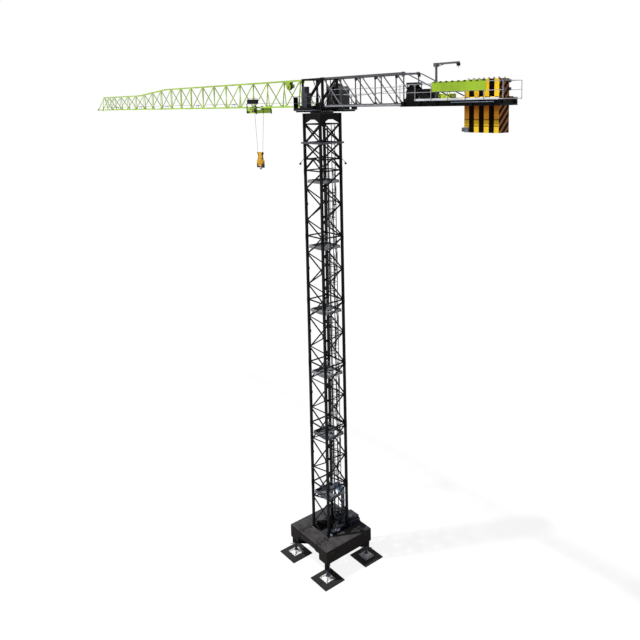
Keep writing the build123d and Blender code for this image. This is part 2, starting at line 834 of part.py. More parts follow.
# Walkways: beside the head, along the counter-jib's lower bracing and over the deck
floor_front = counter_rear - cross_beam_length / 2
floor_back = slab_bay_front + travel_gap
left_walkway_x = (left_walkway_back + left_walkway_front) / 2
cab_walkway_x = (cab_walkway_back + cab_walkway_front) / 2
with BuildPart() as walkways:
    with BuildSketch(Plane.XY.offset(walkway_top - walkway_thickness)):
        with Locations((left_walkway_x, walkway_inner + left_walkway_width / 2)):
            Rectangle(left_walkway_front - left_walkway_back, left_walkway_width)
        with Locations((cab_walkway_x, -walkway_inner - cab_walkway_width / 2)):
            Rectangle(cab_walkway_front - cab_walkway_back, cab_walkway_width)
    extrude(amount=walkway_thickness)
    with BuildSketch(Plane.XY.offset(chord_level + frame_brace / 2 + seat_gap)):
        with Locations(((counter_front + counter_rear) / 2, 0)):
            Rectangle(counter_front - counter_rear - 2 * frame_post, counter_walkway_width)
    extrude(amount=deck_plate)
    with BuildSketch(Plane.XY.offset(deck_top - deck_plate)):
        with Locations(((floor_front + floor_back) / 2, 0)):
            Rectangle(floor_front - floor_back, 2 * deck_inner)
    extrude(amount=deck_plate)
write(walkways, "walkways")

deck_rail_y = deck_beam_y + deck_beam_width / 2 - rail_bar
left_rail_y = walkway_inner + left_walkway_width - rail_bar
cab_rail_y = -walkway_inner - cab_walkway_width + rail_bar
with BuildPart() as railings:
    with BuildSketch(Plane(origin=(0, left_rail_y, walkway_top), x_dir=(1, 0, 0), z_dir=(0, -1, 0))):
        railing(left_walkway_front, left_walkway_back, walkway_rail_height, 4)
    extrude(amount=rail_bar / 2, both=True)
    with BuildSketch(Plane(origin=(0, cab_rail_y, walkway_top), x_dir=(1, 0, 0), z_dir=(0, -1, 0))):
        railing(cab_back - cab_side_clearance, cab_walkway_back, walkway_rail_height, 2)
    extrude(amount=rail_bar / 2, both=True)
    for side in (-1, 1):
        rail_origin = (0, side * deck_rail_y, deck_top)
        with BuildSketch(Plane(origin=rail_origin, x_dir=(1, 0, 0), z_dir=(0, -1, 0))):
            railing(deck_front, deck_back - rail_overhang, deck_rail_height, 7)
        extrude(amount=rail_bar / 2, both=True)
write(railings, "railings")

# Tie bars from the lattice's rear top corners down to the deck
tie_foot = slab_bay_front + 2 * cross_beam_length
with BuildPart() as tie_bars:
    for side in (-1, 1):
        with BuildSketch(side_face(side * frame_half_width)):
            tie_head = (counter_rear - frame_post, chord_top_level)
            lacing_bar(tie_head, (tie_foot, deck_top + seat_gap), frame_brace)
        extrude(amount=frame_brace / 2, both=True)
write(tie_bars, "tie_bars")

# Hoist winch: skid with cheeks, a grooved drum and a motor with its gearbox
winch_back = winch_front - winch_length
winch_top = deck_top + winch_base_height
drum_x = winch_front - drum_flange_radius - winch_cheek
drum_z = winch_top + drum_flange_radius + travel_gap
cheek_y = drum_length / 2 + winch_cheek
motor_x = winch_back + winch_length / 4
motor_length = winch_length / 3
with BuildPart() as hoist_winch_frame:
    with BuildSketch(Plane.XY.offset(deck_top)):
        with Locations(((winch_front + winch_back) / 2, 0)):
            Rectangle(winch_length, winch_width)
    extrude(amount=winch_base_height)
    for side in (-1, 1):
        with BuildSketch(side_face(side * (cheek_y + winch_cheek / 2))):
            Polygon(
                (drum_x - drum_flange_radius, winch_top),
                (drum_x + drum_flange_radius, winch_top),
                (drum_x + drum_radius / 2, drum_z + drum_radius / 2),
                (drum_x - drum_radius / 2, drum_z + drum_radius / 2),
            )
            with Locations((drum_x, drum_z)):
                Circle(drum_shaft_radius + bearing_gap, mode=Mode.SUBTRACT)
        extrude(amount=winch_cheek / 2, both=True)
    with BuildSketch(Plane.XY.offset(winch_top)):
        with Locations((motor_x, 0)):
            Rectangle(motor_length, winch_width)
    extrude(amount=winch_base_height)
    with BuildSketch(side_face(0)):
        with Locations((motor_x, winch_top + winch_base_height + motor_radius / 2)):
            Circle(motor_radius)
    extrude(amount=winch_width / 2, both=True)
write(hoist_winch_frame, "hoist_winch_frame")

with BuildPart() as hoist_drum:
    with BuildSketch(side_face(0)):
        with Locations((drum_x, drum_z)):
            Circle(drum_radius)
    extrude(amount=drum_length / 2, both=True)
    for side in (-1, 1):
        with BuildSketch(side_face(side * (drum_length / 2 - winch_cheek / 2))):
            with Locations((drum_x, drum_z)):
                Circle(drum_flange_radius)
        extrude(amount=winch_cheek / 2, both=True)
    with BuildSketch(side_face(0)):
        with Locations((drum_x, drum_z)):
            Circle(drum_shaft_radius)
    extrude(amount=cheek_y + winch_cheek, both=True)
write(hoist_drum, "hoist_drum")

# Rope guard box, signboard and counterweight slabs
with BuildPart() as rope_guard_box:
    with BuildSketch(Plane.XY.offset(deck_top)):
        with Locations((guard_box_front - guard_box_length / 2, 0)):
            Rectangle(guard_box_length, guard_box_width)
    extrude(amount=guard_box_height)
    chamfer(rope_guard_box.faces().group_by(Axis.Z)[-1].edges(), guard_box_height / 10)
write(rope_guard_box, "rope_guard_box")

sign_y = deck_rail_y + (rail_bar + sign_thickness) / 2 + seat_gap
with BuildPart() as signboard:
    with BuildSketch(side_face(sign_y)):
        with Locations((sign_front - sign_length / 2, deck_top + sign_rise + sign_height / 2)):
            Rectangle(sign_length, sign_height)
    extrude(amount=sign_thickness / 2, both=True)
write(signboard, "signboard")

lug_half = beam_inner + slab_lug_bearing
slab_top = deck_top + slab_rise
slab_bottom = deck_top - slab_drop


def slab_profile():
    """Front view of a counterweight slab with its two shoulders over the beams."""
    with Locations((0, (slab_bottom + slab_top) / 2)):
        Rectangle(2 * slab_half_width, slab_top - slab_bottom)
    with Locations((0, deck_top + slab_lug_height / 2)):
        Rectangle(2 * lug_half, slab_lug_height)


def slab_set(name, first):
    """Every second slab of the stack, starting from the given one."""
    with BuildPart() as slabs:
        for i in range(first, slab_count, 2):
            x = slab_bay_front - i * slab_pitch
            with BuildSketch(Plane(origin=(x, 0, 0), x_dir=(0, -1, 0), z_dir=(-1, 0, 0))):
                slab_profile()
            extrude(amount=slab_thickness)
    write(slabs, name)


slab_set("counterweights_even", 0)
slab_set("counterweights_odd", 1)

# Davit: a fixed post and a swinging arm with its sleeve
with BuildPart() as davit_post:
    with BuildSketch(Plane.XY.offset(deck_top)):
        with Locations((davit_x, davit_y)):
            Circle(davit_radius)
    extrude(amount=davit_post_height)
write(davit_post, "davit_post")

davit_top = deck_top + davit_post_height
with BuildPart() as davit_arm:
    with BuildSketch(Plane.XY.offset(davit_top + bearing_gap)):
        with Locations((davit_x, davit_y)):
            Rectangle(davit_sleeve_side, davit_sleeve_side)
    extrude(amount=davit_sleeve_height)
    with BuildSketch(Plane.XY.offset(davit_top + davit_sleeve_height - davit_arm_depth)):
        with Locations((davit_x - davit_reach / 2, davit_y)):
            Rectangle(davit_reach, davit_arm_depth)
    extrude(amount=davit_arm_depth)
write(davit_arm, "davit_arm")

# Jib sections: a bottom frame with trolley rails, a top chord and two laced sides
bottom_half = jib_bottom_chord / 2
top_half = jib_top_chord / 2
lace_foot_y = jib_half_width - jib_brace / 2
lace_low = chord_level + bottom_half + seat_gap


def jib_bottom_frame(start, end, panels):
    """Bottom chords with trolley rails outside and lacing between them."""
    middle = (start + end) / 2
    with BuildSketch(Plane.XY.offset(chord_level - bottom_half)) as profile:
        with Locations((middle, 0)):
            with GridLocations(0, 2 * jib_half_width, 1, 2):
                Rectangle(end - start, jib_bottom_chord)
    extrude(profile.sketch, amount=jib_bottom_chord)
    rail_y = jib_half_width + (bottom_half + rail_ledge) / 2
    with BuildSketch(Plane.XY.offset(chord_level - bottom_half)) as profile:
        with Locations((middle, 0)):
            with GridLocations(0, 2 * rail_y, 1, 2):
                Rectangle(end - start, bottom_half + rail_ledge)
    extrude(profile.sketch, amount=rail_ledge_thickness)
    stations = stations_between(start + jib_brace, end - jib_brace, 2 * panels)
    with BuildSketch(Plane.XY.offset(chord_level - jib_brace / 2)) as profile:
        zigzag(stations, -jib_half_width, jib_half_width, jib_brace)
    extrude(profile.sketch, amount=jib_brace)


def jib_top(start, end, start_height, end_height):
    """The single top chord, level or falling towards the tip."""
    z0 = chord_level + start_height
    z1 = chord_level + end_height
    with BuildSketch(Plane.XZ) as profile:
        Polygon((start, z0 - top_half), (end, z1 - top_half), (end, z1 + top_half), (start, z0 + top_half))
    extrude(profile.sketch, amount=top_half, both=True)


def jib_side(start, end, start_height, end_height, xs, side):
    """One laced side through the stations xs, up to the underside of the top chord."""
    low = lace_low
    rise = (end_height - start_height) / (end - start)
    points = []
    for i, x in enumerate(xs):
        if i % 2:
            top = chord_level + start_height + (x - start) * rise - top_half - seat_gap
            points.append(Vector(x, side * jib_brace, top))
        else:
            points.append(Vector(x, side * lace_foot_y, low))
    with BuildPart() as lacing:
        for a, b in zip(points, points[1:]):
            reach = (b - a).normalized() * jib_brace
            square_bar(a - reach, b + reach, jib_brace)
        split(bisect_by=Plane.XY.offset(low), keep=Keep.TOP)
        top_origin = (start, 0, chord_level + start_height - top_half - seat_gap)
        split(bisect_by=Plane(origin=top_origin, x_dir=(1, 0, rise), z_dir=(-rise, 0, 1)), keep=Keep.BOTTOM)
    return lacing.part


def jib_lattice(start, end, start_height, end_height, panels):
    """A whole jib section as four solids that do not touch."""
    xs = stations_between(start + 2 * jib_brace, end - 2 * jib_brace, 2 * panels)
    sides = [jib_side(start, end, start_height, end_height, xs, side) for side in (-1, 1)]
    with BuildPart() as lattice:
        jib_bottom_frame(start, end, panels)
        jib_top(start, end, start_height, end_height)
        add(sides)
    return lattice.part


with BuildPart() as jib_root_section:
    add(jib_lattice(jib_root, jib_root_end, lattice_height, lattice_height, 2))
write(jib_root_section, "jib_root_section")

full_section = jib_lattice(0, jib_section, lattice_height, lattice_height, jib_panels)
for i in range(3):
    with BuildPart() as jib_full_section:
        with Locations((jib_root_end + i * jib_section, 0, 0)):
            add(full_section)
    write(jib_full_section, f"jib_section_{i + 2}")

taper_start = jib_root_end + 3 * jib_section
with BuildPart() as jib_taper_section:
    add(jib_lattice(taper_start, taper_start + jib_section, lattice_height, jib_low_height, jib_panels))
write(jib_taper_section, "jib_section_5")

low_start = taper_start + jib_section
with BuildPart() as jib_low_section:
    add(jib_lattice(low_start, low_start + jib_section, jib_low_height, jib_low_height, jib_panels))
write(jib_low_section, "jib_section_6")

tip_start = low_start + jib_section
jib_tip = tip_start + jib_tip_section
tip_top_end = jib_tip - jib_tip_slant
tip_stations = stations_between(tip_start + 2 * jib_brace, tip_top_end - 2 * jib_brace, 2 * jib_panels - 1)
tip_stations.append(jib_tip - 2 * jib_brace)
run_level = chord_level + run_rise
anchor_x = jib_tip - bottom_half - anchor_side
with BuildPart() as jib_tip_part:
    jib_bottom_frame(tip_start, jib_tip, jib_panels)
    jib_top(tip_start, tip_top_end, jib_low_height, jib_low_height)
    for side in (-1, 1):
        add(jib_side(tip_start, tip_top_end, jib_low_height, jib_low_height, tip_stations, side))
    with BuildSketch(Plane.XY.offset(chord_level - bottom_half)):
        with Locations((anchor_x, 0)):
            Rectangle(jib_bottom_chord, 2 * jib_half_width)
    extrude(amount=jib_bottom_chord)
    with BuildSketch(Plane.XY.offset(chord_level - bottom_half)):
        with Locations((anchor_x, 0)):
            Rectangle(anchor_side, anchor_side)
    extrude(amount=bottom_half + run_rise + anchor_side)
write(jib_tip_part, "jib_tip_section")

# Trolley winch hung from the top chord in the jib root
winch_saddle_top = chord_top_level - top_half - seat_gap
winch_saddle_bottom = winch_saddle_top - saddle_thickness
trolley_drum_z = winch_saddle_bottom - trolley_drum_radius - travel_gap
hanger_y = trolley_drum_length / 2 + travel_gap + hanger_thickness / 2
with BuildPart() as trolley_winch_frame:
    with BuildSketch(Plane.XY.offset(winch_saddle_bottom)):
        with Locations((trolley_drum_x, 0)):
            Rectangle(2 * trolley_drum_radius, 2 * hanger_y + hanger_thickness)
    extrude(amount=saddle_thickness)
    for side in (-1, 1):
        with BuildSketch(side_face(side * hanger_y)):
            Polygon(
                (trolley_drum_x - trolley_drum_radius, winch_saddle_bottom),
                (trolley_drum_x + trolley_drum_radius, winch_saddle_bottom),
                (trolley_drum_x + drum_shaft_radius, trolley_drum_z - drum_shaft_radius),
                (trolley_drum_x - drum_shaft_radius, trolley_drum_z - drum_shaft_radius),
            )
            with Locations((trolley_drum_x, trolley_drum_z)):
                Circle(trolley_shaft_radius + bearing_gap, mode=Mode.SUBTRACT)
        extrude(amount=hanger_thickness / 2, both=True)
write(trolley_winch_frame, "trolley_winch_frame")

with BuildPart() as trolley_winch_drum:
    with BuildSketch(side_face(0)):
        with Locations((trolley_drum_x, trolley_drum_z)):
            Circle(trolley_drum_radius)
    extrude(amount=trolley_drum_length / 2, both=True)
    with BuildSketch(side_face(0)):
        with Locations((trolley_drum_x, trolley_drum_z)):
            Circle(trolley_shaft_radius)
    extrude(amount=hanger_y + hanger_thickness, both=True)
write(trolley_winch_drum, "trolley_winch_drum")

# Trolley: side plates, cross bars and carriers that hold a sheave at each end
rail_top = chord_level - bottom_half + rail_ledge_thickness
wheel_z = rail_top + trolley_wheel_radius + seat_gap
wheel_y = jib_half_width + bottom_half + rail_ledge / 2 + wheel_set_out
plate_y = jib_half_width + bottom_half + rail_ledge + travel_gap + trolley_plate / 2
frame_top = chord_level - bottom_half - travel_gap
frame_bottom = frame_top - trolley_depth
wheel_offset = trolley_length / 2 - trolley_wheel_radius
sheave_offset = fall_top_spread - rope_radius - trolley_sheave_radius
sheave_z = chord_level - jib_brace / 2 - travel_gap - trolley_sheave_radius
slot_half = trolley_sheave_width / 2 + travel_gap
slot_inner = sheave_offset - trolley_sheave_radius - travel_gap
with BuildPart() as trolley_frame:
    for side in (-1, 1):
        with BuildSketch(side_face(side * plate_y)):
            Polygon(
                (trolley_x - trolley_length / 2, wheel_z + trolley_wheel_radius),
                (trolley_x - wheel_offset + trolley_wheel_radius, wheel_z + trolley_wheel_radius),
                (trolley_x - trolley_plate_waist, frame_top),
                (trolley_x + trolley_plate_waist, frame_top),
                (trolley_x + wheel_offset - trolley_wheel_radius, wheel_z + trolley_wheel_radius),
                (trolley_x + trolley_length / 2, wheel_z + trolley_wheel_radius),
                (trolley_x + trolley_length / 2, frame_bottom),
                (trolley_x - trolley_length / 2, frame_bottom),
            )
        extrude(amount=trolley_plate / 2, both=True)
    with BuildSketch(Plane.XY.offset(frame_bottom)):
        with Locations((trolley_x, 0)):
            with GridLocations(trolley_length - trolley_bar, 0, 2, 1):
                Rectangle(trolley_bar, 2 * plate_y)
            with GridLocations(2 * slot_inner - trolley_bar, 0, 2, 1):
                Rectangle(trolley_bar, 2 * plate_y)
            with GridLocations(0, 2 * slot_half + trolley_plate, 1, 2):
                Rectangle(trolley_length, trolley_plate)
            with GridLocations(slot_inner + trolley_length / 2, 0, 2, 1):
                Rectangle(trolley_length / 2 - slot_inner, 2 * slot_half, mode=Mode.SUBTRACT)
    extrude(amount=sheave_z - frame_bottom)
write(trolley_frame, "trolley_frame")

# Maintenance cage carried beside the near rail
cage_inner = plate_y + trolley_plate / 2 + seat_gap
cage_middle_y = cage_inner + cage_width / 2
cage_x = trolley_x - cage_setback
cage_bottom = rail_top + cage_rise
with BuildPart() as trolley_cage:
    with BuildSketch(Plane.XY.offset(cage_bottom)):
        with Locations((cage_x, cage_middle_y)):
            Rectangle(cage_length, cage_width)
    extrude(amount=cage_height)
    with BuildSketch(Plane.XY.offset(cage_bottom + cage_wall)):
        with Locations((cage_x, cage_middle_y)):
            Rectangle(cage_length - 2 * cage_wall, cage_width - 2 * cage_wall)
    extrude(amount=cage_height, mode=Mode.SUBTRACT)
    with BuildSketch(Plane.XY.offset(frame_bottom)):
        with Locations((trolley_x, cage_inner + cage_wall / 2)):
            with GridLocations(trolley_length - 2 * trolley_bar, 0, 2, 1):
                Rectangle(trolley_bar, cage_wall)
    extrude(amount=cage_bottom + cage_wall - frame_bottom)
write(trolley_cage, "trolley_cage")

axle_reach = plate_y - trolley_plate / 2 - seat_gap
with BuildPart() as trolley_wheels:
    for side in (-1, 1):
        for x in (trolley_x - wheel_offset, trolley_x + wheel_offset):
            with BuildSketch(side_face(side * wheel_y)):
                with Locations((x, wheel_z)):
                    Circle(trolley_wheel_radius)
            extrude(amount=trolley_wheel_width / 2, both=True)
            with BuildSketch(side_face(side * wheel_y)):
                with Locations((x, wheel_z)):
                    Circle(trolley_axle_radius)
            extrude(amount=side * (wheel_y - axle_reach))
write(trolley_wheels, "trolley_wheels")

with BuildPart() as trolley_sheaves:
    for x in (trolley_x - sheave_offset, trolley_x + sheave_offset):
        with BuildSketch(side_face(0)):
            with Locations((x, sheave_z)):
                Circle(trolley_sheave_radius)
        extrude(amount=trolley_sheave_width / 2, both=True)
        with BuildSketch(side_face(0)):
            with Locations((x, sheave_z)):
                Circle(trolley_axle_radius)
        extrude(amount=slot_half - seat_gap, both=True)
write(trolley_sheaves, "trolley_sheaves")

# Hook block: two cheeks over a pair of sheaves, on a wider weight with bumpers
hook_block_top = frame_bottom - hook_hang
cheek_bottom = hook_block_top - hook_cheek_height
weight_bottom = cheek_bottom - hook_weight_height
block_sheave_offset = fall_foot_spread - rope_radius - block_sheave_radius
block_sheave_z = hook_block_top - block_sheave_drop
cheek_inner = block_sheave_width / 2 + travel_gap
with BuildPart() as hook_block:
    for side in (-1, 1):
        with BuildSketch(side_face(side * (cheek_inner + hook_cheek / 2))):
            with Locations((trolley_x, (hook_block_top + cheek_bottom) / 2)):
                RectangleRounded(hook_cheek_length, hook_cheek_height, block_sheave_drop / 2)
            with Locations((trolley_x, cheek_bottom + block_sheave_drop / 2)):
                Rectangle(hook_cheek_length, block_sheave_drop)
        extrude(amount=hook_cheek / 2, both=True)
    with BuildSketch(side_face(0)):
        Polygon(
            (trolley_x - hook_cheek_length / 2, cheek_bottom),
            (trolley_x + hook_cheek_length / 2, cheek_bottom),
            (trolley_x + hook_weight_length / 2, cheek_bottom - hook_weight_height / 3),
            (trolley_x + hook_weight_length / 2, weight_bottom),
            (trolley_x - hook_weight_length / 2, weight_bottom),
            (trolley_x - hook_weight_length / 2, cheek_bottom - hook_weight_height / 3),
        )
    extrude(amount=hook_block_width / 2, both=True)
write(hook_block, "hook_block")

with BuildPart() as hook_fittings:
    for side in (-1, 1):
        with BuildSketch(side_face(0)):
            with Locations((trolley_x + side * block_sheave_offset, block_sheave_z)):
                Circle(block_sheave_radius)
        extrude(amount=block_sheave_width / 2, both=True)
        with BuildSketch(side_face(0)):
            with Locations((trolley_x + side * block_sheave_offset, block_sheave_z)):
                Circle(trolley_axle_radius)
        extrude(amount=cheek_inner - seat_gap, both=True)
        with BuildSketch(side_face(0)):
            with Locations((trolley_x + side * (hook_weight_length - bumper_length) / 2, weight_bottom - seat_gap)):
                Rectangle(bumper_length, bumper_height, align=(Align.CENTER, Align.MAX))
        extrude(amount=hook_block_width / 2, both=True)
write(hook_fittings, "hook_fittings")

# Swivel hook: a shank and a round-bodied bowl that stops short of closing
hook_shank_top = weight_bottom - seat_gap
hook_middle_z = hook_shank_top - hook_drop
with BuildPart() as hook:
    with BuildSketch(Plane(origin=(trolley_x, 0, hook_middle_z), x_dir=(0, 0, 1), z_dir=(1, 0, 0))):
        with Locations((hook_bowl_radius, 0)):
            RegularPolygon(hook_body_radius, 8)
    revolve(axis=Axis((trolley_x, 0, hook_middle_z), (0, 1, 0)), revolution_arc=-hook_arc)
    with BuildSketch(Plane.XY.offset(hook_middle_z + hook_bowl_radius)):
        with Locations((trolley_x, 0)):
            Circle(hook_shank_radius)
    extrude(amount=hook_shank_top - hook_middle_z - hook_bowl_radius)
write(hook, "hook")

# Rope falls from the trolley's sheaves to the block's sheaves
with BuildPart() as rope_falls:
    for side in (-1, 1):
        top = Vector(trolley_x + side * (fall_top_spread + rope_gap), 0, sheave_z)
        foot = Vector(trolley_x + side * (fall_foot_spread + rope_gap), 0, block_sheave_z)
        path = top - foot
        with BuildSketch(Plane(origin=foot, z_dir=path.normalized())):
            Circle(rope_radius)
        extrude(amount=path.length)
write(rope_falls, "rope_falls")

# Hoist rope run: from the drum over the head sheave and along the jib to its tip anchor
sheave_reach = head_sheave_radius + rope_radius + rope_gap
head_sheave_z = run_level - sheave_reach
sheave_cheek_y = trolley_sheave_width / 2 + travel_gap
with BuildPart() as head_sheave:
    for side in (-1, 1):
        with BuildSketch(side_face(side * (sheave_cheek_y + hook_cheek / 2))):
            Polygon(
                (head_sheave_x - head_sheave_radius, turntable_top),
                (head_sheave_x + head_sheave_radius, turntable_top),
                (head_sheave_x + trolley_axle_radius, head_sheave_z + 2 * trolley_axle_radius),
                (head_sheave_x - trolley_axle_radius, head_sheave_z + 2 * trolley_axle_radius),
            )
        extrude(amount=hook_cheek / 2, both=True)
    with BuildSketch(side_face(0)):
        with Locations((head_sheave_x, head_sheave_z)):
            Circle(head_sheave_radius)
    extrude(amount=trolley_sheave_width / 2, both=True)
    with BuildSketch(side_face(0)):
        with Locations((head_sheave_x, head_sheave_z)):
            Circle(trolley_axle_radius)
    extrude(amount=sheave_cheek_y, both=True)
write(head_sheave, "head_sheave")


def straight_rope(start, end):
    """A taut rope between two points, added to the part in hand."""
    path = end - start
    with BuildSketch(Plane(origin=start, z_dir=path.normalized())) as section:
        Circle(rope_radius)
    extrude(section.sketch, amount=path.length)


over_sheave = Vector(head_sheave_x, 0, run_level)
with BuildPart() as hoist_rope_run:
    straight_rope(Vector(drum_x, 0, drum_z + drum_radius + rope_radius + rope_gap), over_sheave)
    straight_rope(over_sheave, Vector(anchor_x - anchor_side / 2 - seat_gap, 0, run_level))
write(hoist_rope_run, "hoist_rope_run")
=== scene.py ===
"""Dresses the half-size flat-top tower crane for rendering.

Every length is in metres of the model. The frame is that of the record: the origin is on the
underside of the cross base, +X runs along the jib, +Y to its left and +Z up.
"""

import json
import logging
import math
from dataclasses import dataclass, field
from enum import Enum
from typing import Callable, Iterable, Sequence

import bmesh
import bpy
from mathutils import Matrix, Vector

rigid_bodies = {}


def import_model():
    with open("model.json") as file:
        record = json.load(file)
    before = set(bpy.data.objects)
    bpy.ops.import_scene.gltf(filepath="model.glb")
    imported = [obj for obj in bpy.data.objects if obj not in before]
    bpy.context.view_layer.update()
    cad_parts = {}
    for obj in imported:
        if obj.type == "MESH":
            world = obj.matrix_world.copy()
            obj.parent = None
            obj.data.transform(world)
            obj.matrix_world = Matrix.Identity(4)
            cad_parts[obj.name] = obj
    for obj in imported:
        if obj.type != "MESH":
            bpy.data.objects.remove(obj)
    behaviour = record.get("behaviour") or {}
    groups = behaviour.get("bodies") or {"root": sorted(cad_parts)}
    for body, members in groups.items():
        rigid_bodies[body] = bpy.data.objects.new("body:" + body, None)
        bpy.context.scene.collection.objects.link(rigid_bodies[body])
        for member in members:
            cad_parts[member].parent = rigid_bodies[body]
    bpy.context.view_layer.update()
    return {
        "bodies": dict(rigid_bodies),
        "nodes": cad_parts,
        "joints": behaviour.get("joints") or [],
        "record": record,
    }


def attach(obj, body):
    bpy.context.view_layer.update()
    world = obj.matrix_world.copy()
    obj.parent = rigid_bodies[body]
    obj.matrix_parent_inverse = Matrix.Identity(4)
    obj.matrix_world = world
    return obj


log = logging.getLogger("tower_crane")

Triple = tuple[float, float, float]
Piece = bpy.types.Object
Socket = bpy.types.NodeSocket
Test = Callable[[Vector], bool]

SIDES = (-1, 1)
FACING = 0.9  # least cosine between a face's normal and the axis that it faces
END_ON = 0.99  # the same for the end faces of a bar
UPRIGHT = 0.1  # most that an upright face's normal rises


class Body(Enum):
    """The moving bodies of the crane."""

    MAST = "mast"
    SLEWING = "slewing_part"
    TROLLEY = "trolley"
    BLOCK = "hook_block"
    HOOK = "hook"
    DAVIT = "davit"
    HOIST_DRUM = "hoist_drum"
    TROLLEY_DRUM = "trolley_drum"


class Lie(Enum):
    """The direction a round bar or a disc's axis points in."""

    X = (0.0, math.pi / 2, 0.0)
    Y = (math.pi / 2, 0.0, 0.0)
    Z = (0.0, 0.0, 0.0)


@dataclass(frozen=True)
class Levels:
    """Heights above the origin that several sub-assemblies share."""

    beam_top: float = 0.255
    ballast_top: float = 0.81
    first_joint: float = 2.78
    joint_pitch: float = 2.64
    joints: int = 6
    mast_top: float = 18.25
    walkway: float = 18.40
    turntable: float = 18.495
    chord: float = 18.53
    chord_top: float = 19.58
    deck: float = 18.65


LEVELS = Levels()


# Modelling


def clear_selection() -> None:
    """Leaves nothing selected."""
    bpy.ops.object.select_all(action="DESELECT")


def take(obj: Piece) -> None:
    """Makes one object the only selected and active one.

    Args:
        obj: The object to work on.
    """
    clear_selection()
    obj.select_set(True)
    bpy.context.view_layer.objects.active = obj


def settle(obj: Piece, name: str) -> Piece:
    """Moves an object's place and turn into its mesh and names it.

    Args:
        obj: The object to settle.
        name: Its name and its mesh's name.

    Returns:
        The same object, at the origin.
    """
    take(obj)
    bpy.ops.object.transform_apply(location=True, rotation=True, scale=True)
    obj.name = name
    obj.data.name = name
    return obj


def edge_round(width: float) -> None:
    """Bevels all edges of the mesh in edit mode.

    Args:
        width: Width of the bevel.
    """
    bpy.ops.mesh.select_all(action="SELECT")
    bpy.ops.mesh.bevel(offset=width, segments=1, affect="EDGES")


def facing(ways: str) -> Test:
    """Makes a test for the faces that look one of some ways.

    Args:
        ways: Signed axes such as "+y -x"; an axis without its sign is both ways, and "round" is every upright face.

    Returns:
        The test.
    """
    signs = {"+": (1,), "-": (-1,)}

    def test(normal: Vector) -> bool:
        """Whether a face with this normal looks one of the ways."""
        if ways == "round":
            return abs(normal.z) < UPRIGHT
        return any(
            sign * getattr(normal, way[-1]) > FACING for way in ways.split() for sign in signs.get(way[0], SIDES))

    return test


def pick_faces(obj: Piece, test: Test) -> None:
    """Selects the faces that pass a test, in edit mode.

    Args:
        obj: The object in edit mode.
        test: Takes a face's normal.
    """
    bpy.ops.mesh.select_mode(type="FACE")
    bpy.ops.mesh.select_all(action="DESELECT")
    mesh = bmesh.from_edit_mesh(obj.data)
    for face in mesh.faces:
        face.select_set(test(face.normal))
    bmesh.update_edit_mesh(obj.data)


def block(name: str, low: Triple, high: Triple, soften: float = 0.003) -> Piece:
    """A box between two corners with softened edges.

    Args:
        name: Name of the piece.
        low: Lowest corner.
        high: Highest corner.
        soften: Width of the bevel on its edges.

    Returns:
        The settled piece.
    """
    clear_selection()
    centre = [(a + b) / 2 for a, b in zip(low, high)]
    size = [b - a for a, b in zip(low, high)]
    bpy.ops.mesh.primitive_cube_add(size=1, location=centre, scale=size)
    obj = settle(bpy.context.object, name)
    bpy.ops.object.mode_set(mode="EDIT")
    edge_round(min(soften, min(size) * 0.3))
    bpy.ops.object.mode_set(mode="OBJECT")
    return obj


def panelled(name: str, low: Triple, high: Triple, ways: str, rim: float, depth: float) -> Piece:
    """A softened box with the faces that look some ways sunk or raised inside a rim.

    Args:
        name: Name of the piece.
        low: Lowest corner.
        high: Highest corner.
        ways: The ways that the panelled faces look.
        rim: Width of the rim.
        depth: How far the panels stand out; below zero sinks them.

    Returns:
        The settled piece.
    """
    obj = block(name, low, high)
    bpy.ops.object.mode_set(mode="EDIT")
    pick_faces(obj, facing(ways))
    bpy.ops.mesh.inset(thickness=rim, depth=0, use_individual=True)
    bpy.ops.mesh.inset(thickness=abs(depth) * 0.6, depth=depth, use_individual=True)
    bpy.ops.object.mode_set(mode="OBJECT")
    return obj


def on_side(side: int, low: Triple, high: Triple) -> tuple[Triple, Triple]:
    """Mirrors a box's corners to the right side.

    Args:
        side: -1 for the right side, 1 to leave them.
        low: Lowest corner on the left side.
        high: Highest corner there.

    Returns:
        The lowest and the highest corner on that side.
    """
    near, far = sorted((side * low[1], side * high[1]))
    return (low[0], near, low[2]), (high[0], far, high[2])


def taper(obj: Piece, ways: str, factor: Triple, centre: Triple = (0, 0, 0), lift: float = 0.0) -> None:
    """Scales the faces of a plate that look some ways, so that it narrows towards them.

    Args:
        obj: The plate.
        ways: The ways that the scaled faces look.
        factor: Scale along each axis.
        centre: The point that the scale keeps.
        lift: How far the faces are raised before that.
    """
    bpy.ops.object.mode_set(mode="EDIT")
    pick_faces(obj, facing(ways))
    if lift:
        bpy.ops.transform.translate(value=(0, 0, lift))
    bpy.ops.transform.resize(value=factor, center_override=centre)
    bpy.ops.object.mode_set(mode="OBJECT")


def bar(name: str, start: Triple, end: Triple, width: float, sides: int = 8, soften: float = 0.0) -> Piece:
    """A straight round or many-sided bar between two points.

    Args:
        name: Name of the piece.
        start: One end of its axis.
        end: The other end.
        width: Its diameter.
        sides: Number of its sides.
        soften: Width of the bevel round its ends.

    Returns:
        The settled piece.
    """
    clear_selection()
    path = Vector(end) - Vector(start)
    bpy.ops.mesh.primitive_cylinder_add(
        vertices=sides,
        radius=width / 2,
        depth=path.length,
        location=(Vector(start) + Vector(end)) / 2,
        rotation=path.to_track_quat("Z", "Y").to_euler(),
    )
    obj = settle(bpy.context.object, name)
    bpy.ops.object.mode_set(mode="EDIT")
    way = path.normalized()
    pick_faces(obj, lambda normal: abs(normal.dot(way)) > END_ON)
    bpy.ops.mesh.inset(thickness=max(soften, width * 0.08), depth=soften)
    bpy.ops.object.mode_set(mode="OBJECT")
    bpy.ops.object.shade_smooth_by_angle(angle=math.radians(40))
    return obj


